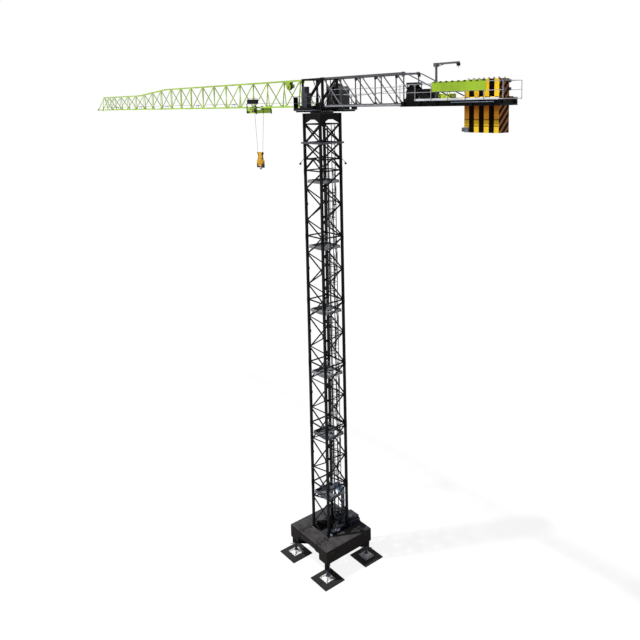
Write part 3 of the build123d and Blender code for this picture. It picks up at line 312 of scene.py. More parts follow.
def rod(
    name: str, way: str, at: tuple[float, float], start: float, end: float, width: float,
    soften: float = 0.0, sides: int = 8,
) -> bpy.types.Object:
    """A bar that runs along one axis.

    Args:
        name: Name of the piece.
        way: The axis it runs along.
        at: Its place on the other two axes, in their order.
        start: Where it starts along the axis.
        end: Where it ends.
        width: Its diameter.
        soften: Width of the bevel round its ends.
        sides: Number of its sides.

    Returns:
        The settled piece.
    """
    index = "xyz".index(way)
    ends = [(*at[:index], along, *at[index:]) for along in (start, end)]
    return bar(name, *ends, width, sides, soften)


def turned(name: str, lie: Lie, centre: Triple, steps: Sequence[tuple[float, float]], sides: int = 24) -> Piece:
    """A turned piece: a disc extruded and scaled step by step along its axis.

    Args:
        name: Name of the piece.
        lie: Direction of its axis.
        centre: Centre of its first face.
        steps: Pairs of distance along the axis and radius there, from the first face on.
        sides: Number of its sides.

    Returns:
        The settled piece.
    """
    clear_selection()
    start, radius = steps[0]
    bpy.ops.mesh.primitive_circle_add(vertices=sides, radius=radius, fill_type="NGON", location=(0, 0, start))
    obj = bpy.context.object
    bpy.ops.object.mode_set(mode="EDIT")
    bpy.ops.mesh.select_all(action="SELECT")
    for along, wide in steps[1:]:
        bpy.ops.mesh.extrude_region_move(TRANSFORM_OT_translate={"value": (0, 0, along - start)})
        factor = wide / radius
        bpy.ops.transform.resize(value=(factor, factor, 1), center_override=(0, 0, along))
        start, radius = along, wide
    bpy.ops.mesh.select_all(action="SELECT")
    bpy.ops.mesh.normals_make_consistent(inside=False)
    bpy.ops.object.mode_set(mode="OBJECT")
    obj.rotation_euler = lie.value
    obj.location = centre
    settle(obj, name)
    bpy.ops.object.shade_smooth_by_angle(angle=math.radians(35))
    return obj


def hoop(name: str, lie: Lie, centre: Triple, radius: float, thick: float, turns: int = 24, sides: int = 6) -> Piece:
    """A ring of round wire: a small circle spun about an axis.

    Args:
        name: Name of the piece.
        lie: Direction of its axis.
        centre: Its centre.
        radius: Radius of the ring's middle line.
        thick: Diameter of the wire.
        turns: Steps round the ring.
        sides: Sides of the wire.

    Returns:
        The settled piece.
    """
    clear_selection()
    bpy.ops.mesh.primitive_circle_add(
        vertices=sides, radius=thick / 2, fill_type="NOTHING", location=(radius, 0, 0), rotation=(math.pi / 2, 0, 0)
    )
    obj = settle(bpy.context.object, name)
    bpy.ops.object.mode_set(mode="EDIT")
    bpy.ops.mesh.select_all(action="SELECT")
    bpy.ops.mesh.spin(steps=turns, angle=math.tau, center=(0, 0, 0), axis=(0, 0, 1))
    bpy.ops.mesh.select_all(action="SELECT")
    bpy.ops.mesh.remove_doubles(threshold=thick * 0.02)
    bpy.ops.mesh.normals_make_consistent(inside=False)
    bpy.ops.object.mode_set(mode="OBJECT")
    obj.rotation_euler = lie.value
    obj.location = centre
    settle(obj, name)
    bpy.ops.object.shade_smooth()
    return obj


def bolt(name: str, lie: Lie, centre: Triple, across: float) -> Piece:
    """A hexagon bolt head on its washer, standing out along the axis on both sides.

    Args:
        name: Name of the piece.
        lie: Direction of its axis.
        centre: Middle of the bolt.
        across: Width of the head.

    Returns:
        The settled piece.
    """
    tall = across * 0.45
    return turned(name, lie, centre, [(-tall, across / 2), (-tall * 0.3, across / 2), (-tall * 0.3, across * 0.68),
                                      (tall * 0.3, across * 0.68), (tall * 0.3, across / 2), (tall, across / 2)], 6)


def join(name: str, parts: Sequence[Piece]) -> Piece:
    """Joins objects into one piece.

    Args:
        name: Name of the joined piece.
        parts: The objects, all settled.

    Returns:
        The joined piece.
    """
    clear_selection()
    for part in parts:
        part.select_set(True)
    bpy.context.view_layer.objects.active = parts[0]
    if len(parts) > 1:
        bpy.ops.object.join()
    return settle(bpy.context.object, name)


def copies(proto: Piece | list[Piece], moves: Iterable[Matrix], name: str) -> Piece:
    """Copies a finished shape to several places and joins the copies.

    Args:
        proto: The shape, modelled once at rest, or its parts; it is used up.
        moves: The moves that take it to its places.
        name: Name of the joined piece.

    Returns:
        The joined piece.
    """
    proto = join(name, proto) if isinstance(proto, list) else proto
    made = []
    for move in moves:
        twin = proto.copy()
        twin.data = proto.data.copy()
        twin.data.transform(move)
        bpy.context.collection.objects.link(twin)
        made.append(twin)
    bpy.data.objects.remove(proto)
    return join(name, made)


def shift(x: float = 0.0, y: float = 0.0, z: float = 0.0) -> Matrix:
    """A plain move along the axes."""
    return Matrix.Translation((x, y, z))


def spun(degrees: float, axis: str = "Z") -> Matrix:
    """A turn about an axis through the origin."""
    return Matrix.Rotation(math.radians(degrees), 4, axis)


# Finishes


class Tree:
    """Builds a node tree: each method adds a node and returns its output socket."""

    def __init__(self, tree: bpy.types.NodeTree) -> None:
        """Takes the tree to build in."""
        self.tree = tree

    def node(self, kind: str, **settings: object) -> bpy.types.Node:
        """Adds a node and sets its properties."""
        made = self.tree.nodes.new(kind)
        for key, value in settings.items():
            setattr(made, key, value)
        return made

    def feed(self, socket: Socket, value: object) -> None:
        """Links an output to a socket, or sets a constant on it."""
        if isinstance(value, Socket):
            self.tree.links.new(value, socket)
        else:
            socket.default_value = value

    def place(self, scale: Triple = (1, 1, 1)) -> Socket:
        """Object coordinates, stretched."""
        where = self.node("ShaderNodeTexCoord").outputs["Object"]
        mapping = self.node("ShaderNodeMapping")
        mapping.inputs["Scale"].default_value = scale
        self.feed(mapping.inputs["Vector"], where)
        return mapping.outputs["Vector"]

    def noise(self, where: object, scale: object, detail: float = 4.0, rough: float = 0.55) -> Socket:
        """A noise value over the given coordinates."""
        made = self.node("ShaderNodeTexNoise")
        self.feed(made.inputs["Vector"], where)
        self.feed(made.inputs["Scale"], scale)
        made.inputs["Detail"].default_value = detail
        made.inputs["Roughness"].default_value = rough
        return made.outputs["Fac"]

    def sum(self, how: str, a: object, b: object, clamp: bool = False) -> Socket:
        """A math node on two values."""
        made = self.node("ShaderNodeMath", operation=how, use_clamp=clamp)
        self.feed(made.inputs[0], a)
        self.feed(made.inputs[1], b)
        return made.outputs[0]

    def span(self, value: object, low: object, high: object, to_low: float = 0.0, to_high: float = 1.0) -> Socket:
        """Maps a value smoothly from one span to another."""
        made = self.node("ShaderNodeMapRange", interpolation_type="SMOOTHSTEP")
        for key, item in zip(
            ("Value", "From Min", "From Max", "To Min", "To Max"), (value, low, high, to_low, to_high)):
            self.feed(made.inputs[key], item)
        return made.outputs["Result"]

    def mix(self, part: object, a: object, b: object, how: str = "MIX") -> Socket:
        """Mixes two colours."""
        made = self.node("ShaderNodeMix", data_type="RGBA", blend_type=how)
        self.feed(made.inputs[0], part)
        for socket, value in ((made.inputs[6], a), (made.inputs[7], b)):
            self.feed(socket, (*value, 1.0) if isinstance(value, tuple) and len(value) == 3 else value)
        return made.outputs[2]

    def axis(self, where: Socket, name: str) -> Socket:
        """One coordinate of a vector."""
        made = self.node("ShaderNodeSeparateXYZ")
        self.feed(made.inputs[0], where)
        return made.outputs[name]

    def group(self, name: str, **values: object) -> bpy.types.Node:
        """Places an effect group with its own values."""
        made = self.node("ShaderNodeGroup")
        made.node_tree = EFFECTS[name]
        for key, value in values.items():
            self.feed(made.inputs[key], value)
        return made


EFFECTS: dict[str, bpy.types.NodeTree] = {}


def effect(name: str, inputs: dict[str, float], outputs: dict[str, str]) -> tuple[Tree, dict, dict]:
    """Starts an effect group.

    Args:
        name: Name of the group.
        inputs: Its float inputs and their default values.
        outputs: Its outputs and their socket types.

    Returns:
        The tree to build in, its input sockets and its output sockets by name.
    """
    tree = bpy.data.node_groups.new(name, "ShaderNodeTree")
    for key, value in inputs.items():
        made = tree.interface.new_socket(key, in_out="INPUT", socket_type="NodeSocketFloat")
        made.default_value = value
    for key, kind in outputs.items():
        tree.interface.new_socket(key, in_out="OUTPUT", socket_type=kind)
    start = tree.nodes.new("NodeGroupInput")
    end = tree.nodes.new("NodeGroupOutput")
    EFFECTS[name] = tree
    return Tree(tree), {key: start.outputs[key] for key in inputs}, {key: end.inputs[key] for key in outputs}


def build_effects() -> None:
    """Builds the effect groups that the finishes share."""
    value = "NodeSocketFloat"
    tree, given, out = effect("chipped_edges", {"Scale": 30.0, "Cover": 0.1}, {"Mask": value})
    fine = tree.noise(tree.place(), given["Scale"], 6.0, 0.65)
    patch = tree.noise(tree.place(), tree.sum("MULTIPLY", given["Scale"], 0.13), 3.0)
    limit = tree.sum("SUBTRACT", 0.74, given["Cover"])
    chips = tree.span(tree.sum("MULTIPLY", fine, tree.sum("ADD", patch, 0.5)), limit, tree.sum("ADD", limit, 0.05))
    tree.feed(out["Mask"], chips)

    tree, given, out = effect("rain_streaks", {"Scale": 6.0, "Strength": 0.5}, {"Mask": value})
    runs = tree.noise(tree.place((1.0, 1.0, 0.12)), given["Scale"], 5.0, 0.6)
    tree.feed(out["Mask"], tree.sum("MULTIPLY", tree.span(runs, 0.46, 0.72), given["Strength"]))

    # Dust on the faces that look up; its lighter colours also paint a highlight on the tops of the parts.
    tree, given, out = effect("dust_and_top_highlight", {"Strength": 0.5}, {"Mask": value})
    normal = tree.node("ShaderNodeNewGeometry").outputs["Normal"]
    upward = tree.span(tree.axis(normal, "Z"), 0.2, 0.95)
    cloud = tree.span(tree.noise(tree.place(), 3.5, 6.0, 0.6), 0.25, 0.75, 0.35, 1.0)
    tree.feed(out["Mask"], tree.sum("MULTIPLY", tree.sum("MULTIPLY", upward, cloud), given["Strength"]))

    tree, given, out = effect("surface_grain", {"Scale": 60.0, "Depth": 1.0}, {"Height": value})
    small = tree.noise(tree.place(), given["Scale"], 4.0, 0.6)
    large = tree.noise(tree.place(), tree.sum("MULTIPLY", given["Scale"], 0.11), 2.0)
    tree.feed(out["Height"], tree.sum("MULTIPLY", tree.sum("ADD", small, large), given["Depth"]))

    tree, given, out = effect("tone_drift", {"Scale": 1.2, "Amount": 0.2}, {"Tone": value})
    drift = tree.noise(tree.place(), given["Scale"], 3.0)
    low = tree.sum("SUBTRACT", 1.0, given["Amount"])
    high = tree.sum("ADD", 1.0, given["Amount"])
    shade = tree.node("ShaderNodeMapRange")
    for key, item in zip(("Value", "From Min", "From Max", "To Min", "To Max"), (drift, 0.3, 0.7, low, high)):
        tree.feed(shade.inputs[key], item)
    tree.feed(out["Tone"], shade.outputs["Result"])


@dataclass(frozen=True)
class Finish:
    """A weathered finish: a base colour under drift, streaks, dust that also paints a highlight on the upward faces,
    and chips.
    """

    name: str
    colour: Triple
    rough: float = 0.45
    metal: float = 0.0
    coat: float = 0.0
    drift: float = 0.18
    streak: float = 0.35
    streak_colour: Triple = (0.02, 0.018, 0.016)
    dust_and_highlight: float = 0.35
    dust_and_highlight_colour: Triple = (0.22, 0.20, 0.17)
    chips: float = 0.08
    chip_colour: Triple = (0.10, 0.045, 0.022)
    chip_scale: float = 26.0
    grain: float = 60.0
    depth: float = 0.25
    gloss: float = 0.5

    def base(self, tree: Tree) -> object:
        """The colour before weathering; finishes with a pattern override this."""
        return (*self.colour, 1.0)

    def build(self) -> bpy.types.Material:
        """Builds the material.

        Returns:
            The finished material.
        """
        made = bpy.data.materials.new(self.name)
        made.use_nodes = True
        made.diffuse_color = (*self.colour, 1.0)
        tree = Tree(made.node_tree)
        shader = made.node_tree.nodes["Principled BSDF"]
        tone = tree.group("tone_drift", Scale=0.9, Amount=self.drift).outputs["Tone"]
        grey = tree.node("ShaderNodeCombineColor")
        for socket in grey.inputs:
            tree.feed(socket, tone)
        colour = tree.mix(1.0, self.base(tree), grey.outputs[0], "MULTIPLY")
        streaks = tree.group("rain_streaks", Scale=5.0, Strength=self.streak).outputs["Mask"]
        colour = tree.mix(streaks, colour, self.streak_colour)
        # The upward faces take the dust colour: partly settled dust, partly a painted highlight on the tops.
        dust_and_highlight = tree.group("dust_and_top_highlight", Strength=self.dust_and_highlight).outputs["Mask"]
        colour = tree.mix(dust_and_highlight, colour, self.dust_and_highlight_colour)
        chips = tree.group("chipped_edges", Scale=self.chip_scale, Cover=self.chips).outputs["Mask"]
        colour = tree.mix(chips, colour, self.chip_colour)
        tree.feed(shader.inputs["Base Color"], colour)
        matt = tree.sum("MAXIMUM", tree.sum("MAXIMUM", dust_and_highlight, chips), tree.sum("MULTIPLY", streaks, 0.6))
        tree.feed(shader.inputs["Roughness"], tree.span(matt, 0.0, 1.0, self.rough, 0.85))
        tree.feed(shader.inputs["Metallic"], tree.sum("MULTIPLY", tree.sum("SUBTRACT", 1.0, matt, True), self.metal))
        tree.feed(shader.inputs["Coat Weight"], tree.sum("MULTIPLY", tree.sum("SUBTRACT", 1.0, matt, True), self.coat))
        shader.inputs["Specular IOR Level"].default_value = self.gloss
        bump = tree.node("ShaderNodeBump")
        bump.inputs["Strength"].default_value = self.depth
        bump.inputs["Distance"].default_value = 0.004
        tree.feed(bump.inputs["Height"], tree.group("surface_grain", Scale=self.grain, Depth=1.0).outputs["Height"])
        tree.feed(shader.inputs["Normal"], bump.outputs["Normal"])
        return made


@dataclass(frozen=True)
class Grating(Finish):
    """Open-mesh walkway plate: bright bars over dark gaps."""

    pitch: float = 0.045
    gap_colour: Triple = (0.02, 0.022, 0.026)
    upper_colour: Triple = (0.30, 0.305, 0.315)
    upper_span: tuple[float, float] = (6.5, 16.0)

    def base(self, tree: Tree) -> object:
        """Bars both ways, drawn on the plate's own coordinates."""
        where = tree.place((1 / self.pitch, 1 / self.pitch, 1.0))
        bars = []
        for name in ("X", "Y"):
            cell = tree.sum("FRACT", tree.axis(where, name), 0.0)
            bars.append(tree.span(tree.sum("ABSOLUTE", tree.sum("SUBTRACT", cell, 0.5), 0.0), 0.24, 0.32))
        level = tree.axis(tree.place(), "Z")
        upper = tree.sum(
            "MULTIPLY", tree.sum("GREATER_THAN", level, self.upper_span[0]),
            tree.sum("LESS_THAN", level, self.upper_span[1]))
        metal = tree.mix(upper, self.colour, self.upper_colour)
        return tree.mix(tree.sum("MAXIMUM", bars[0], bars[1]), self.gap_colour, metal)


@dataclass(frozen=True)
class RailPaint(Finish):
    """Galvanised rails whose part round the head is painted dark."""

    dark: Triple = (0.012, 0.012, 0.014)
    from_x: float = -0.95

    def base(self, tree: Tree) -> object:
        """Dark in front of the given place, galvanised behind it."""
        ahead = tree.sum("GREATER_THAN", tree.axis(tree.place(), "X"), self.from_x)
        return tree.mix(ahead, self.colour, self.dark)


@dataclass(frozen=True)
class SlabPaint(Finish):
    """Counterweight paint: painted shade under the deck, plain at the bottom, striped at the rear end."""

    # Heights and colours of the painted shade under the deck: the yellow darkens and reddens towards the deck's
    # underside, where its shadow falls.
    shade_band_top: float = 18.5
    deep_shade_from: float = 18.16
    seams: tuple[float, ...] = (17.87, 18.06)
    deep_painted_shade_colour: Triple = (0.50, 0.14, 0.012)
    mid_painted_shade_colour: Triple = (0.98, 0.38, 0.03)
    light_painted_shade_colour: Triple = (1.0, 0.60, 0.03)
    seam_colour: Triple = (0.10, 0.03, 0.004)
    rear_x: float = -8.5
    stripe_pitch: float = 0.25
    stripe_colour: Triple = (0.56, 0.22, 0.075)
    rear_colour: Triple = (0.003, 0.002, 0.002)

    def base(self, tree: Tree) -> object:
        """The plain colour, a band of painted shade below the deck with its seam, and the rear stripes."""
        where = tree.place()
        level = tree.axis(where, "Z")
        # Painted shade: a band below the deck, deepest just under it and lighter below the upper seam.
        band = tree.mix(
            tree.span(level, self.deep_shade_from, self.shade_band_top - 0.04), self.mid_painted_shade_colour, self.deep_painted_shade_colour)
        band = tree.mix(tree.span(level, self.seams[1] - 0.01, self.seams[1] + 0.02), self.light_painted_shade_colour, band)
        below = tree.sum("LESS_THAN", level, self.shade_band_top + 0.06)
        above = tree.span(level, self.seams[0], self.seams[0] + 0.02)
        colour = tree.mix(tree.sum("MULTIPLY", below, above), (*self.colour, 1.0), band)
        for seam in self.seams:
            gap = tree.span(tree.sum("ABSOLUTE", tree.sum("SUBTRACT", level, seam), 0.0), 0.008, 0.026, 0.8, 0.0)
            colour = tree.mix(gap, colour, self.seam_colour)
        slope = tree.sum("ADD", level, tree.axis(where, "Y"))
        cell = tree.sum("FRACT", tree.sum("DIVIDE", slope, self.stripe_pitch), 0.0)
        stripe = tree.span(tree.sum("ABSOLUTE", tree.sum("SUBTRACT", cell, 0.5), 0.0), 0.17, 0.22, 1.0, 0.0)
        rear = tree.mix(stripe, self.rear_colour, self.stripe_colour)
        return tree.mix(tree.sum("LESS_THAN", tree.axis(where, "X"), self.rear_x), colour, rear)


@dataclass(frozen=True)
class WireRope(Finish):
    """Laid wire rope: dark grooves wound round the strands."""

    lay: float = 90.0

    def base(self, tree: Tree) -> object:
        """Slanting strands over the rope's length."""
        wave = tree.node("ShaderNodeTexWave", wave_type="BANDS", bands_direction="DIAGONAL")
        tree.feed(wave.inputs["Vector"], tree.place())
        wave.inputs["Scale"].default_value = self.lay
        wave.inputs["Distortion"].default_value = 1.5
        return tree.mix(wave.outputs["Fac"], tuple(0.45 * part for part in self.colour), self.colour)


@dataclass(frozen=True)
class Glazing:
    """Tinted safety glass with a little dust."""

    name: str
    colour: Triple = (0.02, 0.026, 0.03)

    def build(self) -> bpy.types.Material:
        """Builds the material.

        Returns:
            The finished material.
        """
        made = bpy.data.materials.new(self.name)
        made.use_nodes = True
        tree = Tree(made.node_tree)
        shader = made.node_tree.nodes["Principled BSDF"]
        film = tree.span(tree.noise(tree.place(), 9.0, 5.0), 0.5, 0.8, 0.0, 0.35)
        tree.feed(shader.inputs["Base Color"], tree.mix(film, self.colour, (0.35, 0.34, 0.32)))
        tree.feed(shader.inputs["Roughness"], tree.span(film, 0.0, 0.35, 0.05, 0.5))
        shader.inputs["Transmission Weight"].default_value = 0.35
        shader.inputs["IOR"].default_value = 1.45
        return made


# Pale dust colour of the grey steels, which also paints a highlight on their tops.
BRIGHT_DUST_AND_HIGHLIGHT: Triple = (0.50, 0.52, 0.56)

# On the dark steels, the cabinets, the cables and the green jib the dust colour is a lighter tint of the paint: a
# painted highlight on the upward faces as well as dust.
COATS: tuple[Finish | Glazing, ...] = (
    Finish(
        "mast_steel", (0.006, 0.006, 0.008), 0.42, streak=0.2, dust_and_highlight=0.22, dust_and_highlight_colour=(0.12, 0.13, 0.15), chips=0.02,
        chip_colour=(0.05, 0.035, 0.03), gloss=0.07),
    Finish(
        "head_steel", (0.005, 0.005, 0.006), 0.42, streak=0.2, dust_and_highlight=0.16, dust_and_highlight_colour=(0.10, 0.10, 0.11), chips=0.02,
        chip_colour=(0.05, 0.035, 0.03), gloss=0.06),
    Finish(
        "counter_jib_steel", (0.082, 0.084, 0.092), 0.42, dust_and_highlight=0.8, dust_and_highlight_colour=BRIGHT_DUST_AND_HIGHLIGHT, streak=0.4, chips=0.04,
        gloss=0.3),
    Finish(
        "jib_steel", (0.40, 0.60, 0.035), 0.4, coat=0.1, streak=0.22, streak_colour=(0.12, 0.2, 0.02), dust_and_highlight=0.4,
        dust_and_highlight_colour=(0.62, 0.80, 0.10), chips=0.02),
    Finish(
        "sign_green", (0.34, 0.52, 0.035), 0.5, streak=0.2, streak_colour=(0.16, 0.26, 0.02), dust_and_highlight=0.1, chips=0.02,
        gloss=0.2),
    Finish("lime_box", (0.72, 0.92, 0.06), 0.4, streak=0.15, dust_and_highlight=0.1, chips=0.02),
    Grating("platform_mesh", (0.12, 0.13, 0.15), 0.5, metal=0.3, dust_and_highlight=0.4, dust_and_highlight_colour=(0.24, 0.26, 0.29)),
    Finish(
        "ladder_steel", (0.022, 0.023, 0.027), 0.42, metal=0.2, dust_and_highlight=0.2, dust_and_highlight_colour=(0.16, 0.17, 0.19), streak=0.3,
        gloss=0.15),
    Finish(
        "ballast_concrete", (0.016, 0.014, 0.013), 0.85, dust_and_highlight=0.9, dust_and_highlight_colour=(0.066, 0.063, 0.066), streak=0.3,
        streak_colour=(0.006, 0.005, 0.005), chips=0.02, chip_colour=(0.07, 0.06, 0.055), chip_scale=9.0, grain=22.0,
        depth=0.5, gloss=0.1),
    Finish(
        "pad_plate", (0.010, 0.010, 0.010), 0.6, streak=0.2, dust_and_highlight=0.6, dust_and_highlight_colour=(0.026, 0.026, 0.026), chips=0.05,
        chip_colour=(0.10, 0.06, 0.04), gloss=0.15),
    Finish(
        "bearing_plate", (0.72, 0.72, 0.72), 0.5, dust_and_highlight=0.2, dust_and_highlight_colour=(0.6, 0.59, 0.57), streak=0.25,
        streak_colour=(0.30, 0.29, 0.28), chips=0.09, chip_colour=(0.20, 0.18, 0.16)),
    Finish("jack_steel", (0.035, 0.04, 0.06), 0.32, metal=0.6, dust_and_highlight=0.2, chips=0.08),
    Finish("ring_steel", (0.012, 0.012, 0.013), 0.4, metal=0.3, dust_and_highlight=0.2, chips=0.03, gloss=0.3),
    Finish("cabinet_paint", (0.014, 0.016, 0.034), 0.34, coat=0.2, dust_and_highlight=0.3, dust_and_highlight_colour=(0.12, 0.13, 0.18), gloss=0.3),
    # The pale blue of the boxes on the first platform is partly their paint, partly a painted highlight on them.
    Finish(
        "pale_cabinet", (0.16, 0.24, 0.32), 0.4, drift=0.5, dust_and_highlight=0.5, dust_and_highlight_colour=(0.45, 0.55, 0.65), streak=0.7,
        streak_colour=(0.02, 0.03, 0.06), chips=0.08, chip_colour=(0.6, 0.66, 0.7)),
    Finish("cab_paint", (0.022, 0.022, 0.024), 0.3, coat=0.2, dust_and_highlight=0.15, chips=0.02, gloss=0.2),
    Glazing("cab_glass"),
    Finish("winch_paint", (0.007, 0.007, 0.008), 0.4, dust_and_highlight=0.2, dust_and_highlight_colour=(0.08, 0.08, 0.09), chips=0.02, gloss=0.08),
    RailPaint("railing_steel", (0.40, 0.41, 0.43), 0.45, dust_and_highlight=0.1, streak=0.3, chips=0.03),
    SlabPaint(
        "slab_yellow", (0.95, 0.62, 0.03), 0.6, streak=0.22, streak_colour=(0.20, 0.07, 0.006), dust_and_highlight=0.03, chips=0.04,
        grain=24.0, gloss=0.04),
    SlabPaint(
        "slab_black", (0.004, 0.003, 0.003), 0.6, streak=0.1, dust_and_highlight=0.06, chips=0.02, grain=24.0,
        deep_painted_shade_colour=(0.003, 0.002, 0.002), mid_painted_shade_colour=(0.004, 0.002, 0.002), light_painted_shade_colour=(0.004, 0.002, 0.002),
        seam_colour=(0.002, 0.001, 0.001), gloss=0.02),
    Finish("davit_steel", (0.10, 0.105, 0.11), 0.4, dust_and_highlight=0.3),
    Finish("hook_yellow", (0.80, 0.42, 0.02), 0.45, streak=0.35, dust_and_highlight=0.1, chips=0.10, gloss=0.25),
    Finish("hook_steel", (0.03, 0.03, 0.033), 0.4, metal=0.6, dust_and_highlight=0.2, chips=0.1),
    WireRope("rope_steel", (0.035, 0.036, 0.04), 0.45, metal=0.2, dust_and_highlight=0.05, streak=0.2, gloss=0.12),
    Finish("wheel_steel", (0.06, 0.06, 0.062), 0.36, metal=0.7, dust_and_highlight=0.2),
    Finish("black_rubber", (0.006, 0.006, 0.006), 0.75, dust_and_highlight=0.1, chips=0.0, streak=0.1, gloss=0.1),
    Finish("bolt_zinc", (0.30, 0.30, 0.31), 0.35, metal=0.8, dust_and_highlight=0.1, chips=0.12),
    Finish("clamp_steel", (0.14, 0.17, 0.22), 0.45, metal=0.2, dust_and_highlight=0.3, dust_and_highlight_colour=(0.3, 0.33, 0.38), chips=0.04),
    Finish("duct_steel", (0.34, 0.345, 0.36), 0.45, streak=0.4, dust_and_highlight=0.3, dust_and_highlight_colour=BRIGHT_DUST_AND_HIGHLIGHT, chips=0.03),
    Finish("toe_board", (0.72, 0.73, 0.75), 0.5, streak=0.3, streak_colour=(0.30, 0.29, 0.28), dust_and_highlight=0.1, chips=0.04),
    Finish("pin_steel", (0.11, 0.11, 0.12), 0.32, metal=0.8, dust_and_highlight=0.1, chips=0.10),
    Finish("lamp_lens", (0.55, 0.60, 0.66), 0.12, coat=0.6, dust_and_highlight=0.2, chips=0.0, streak=0.1),
    Finish("seat_cloth", (0.03, 0.032, 0.04), 0.85, dust_and_highlight=0.1, chips=0.0, streak=0.0, grain=220.0),
    Finish("cable_sheath", (0.03, 0.036, 0.06), 0.5, dust_and_highlight=0.5, dust_and_highlight_colour=(0.30, 0.34, 0.42), chips=0.0),
    Finish("stop_red", (0.50, 0.03, 0.02), 0.35, coat=0.3, dust_and_highlight=0.2, chips=0.03),
)

FINISHES = {coat.name: coat for coat in COATS}


class Paintshop:
    """Builds each finish once and puts it on pieces and CAD nodes."""

    def __init__(self) -> None:
        """Builds the shared effects."""
        build_effects()
        self.made: dict[str, bpy.types.Material] = {}

    def material(self, name: str) -> bpy.types.Material:
        """The material of a finish, built at its first use."""
        if name not in self.made:
            self.made[name] = FINISHES[name].build()
        return self.made[name]

    def coat(self, obj: Piece, name: str) -> None:
        """Gives an object one finish.

        Args:
            obj: The piece or CAD node.
            name: Name of the finish.
        """
        obj.data.materials.clear()
        obj.data.materials.append(self.material(name))

    def dress_nodes(self, frame: dict) -> None:
        """Gives each CAD node the finish of its material slot.
        """
        for part in frame["record"]["subparts"]:
            self.coat(frame["nodes"][part["node"]], part["material_slot"])


@dataclass
class Assembly:
    """A sub-assembly that makes pieces, paints them and hangs them on their bodies."""

    shop: Paintshop
    body: Body = Body.SLEWING
    made: list[Piece] = field(default_factory=list)

    def add(self, obj: Piece, finish: str, body: Body | None = None) -> Piece:
        """Paints a finished piece and lets it ride its body.

        Args:
            obj: The piece.
            finish: Name of its finish.
            body: The body it rides, or None for the assembly's own.

        Returns:
            The same piece.
        """
        self.shop.coat(obj, finish)
        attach(obj, (body or self.body).value)
        self.made.append(obj)
        log.info("made %s", obj.name)
        return obj

    def build(self) -> None:
        """Makes all pieces of the sub-assembly."""
        raise NotImplementedError


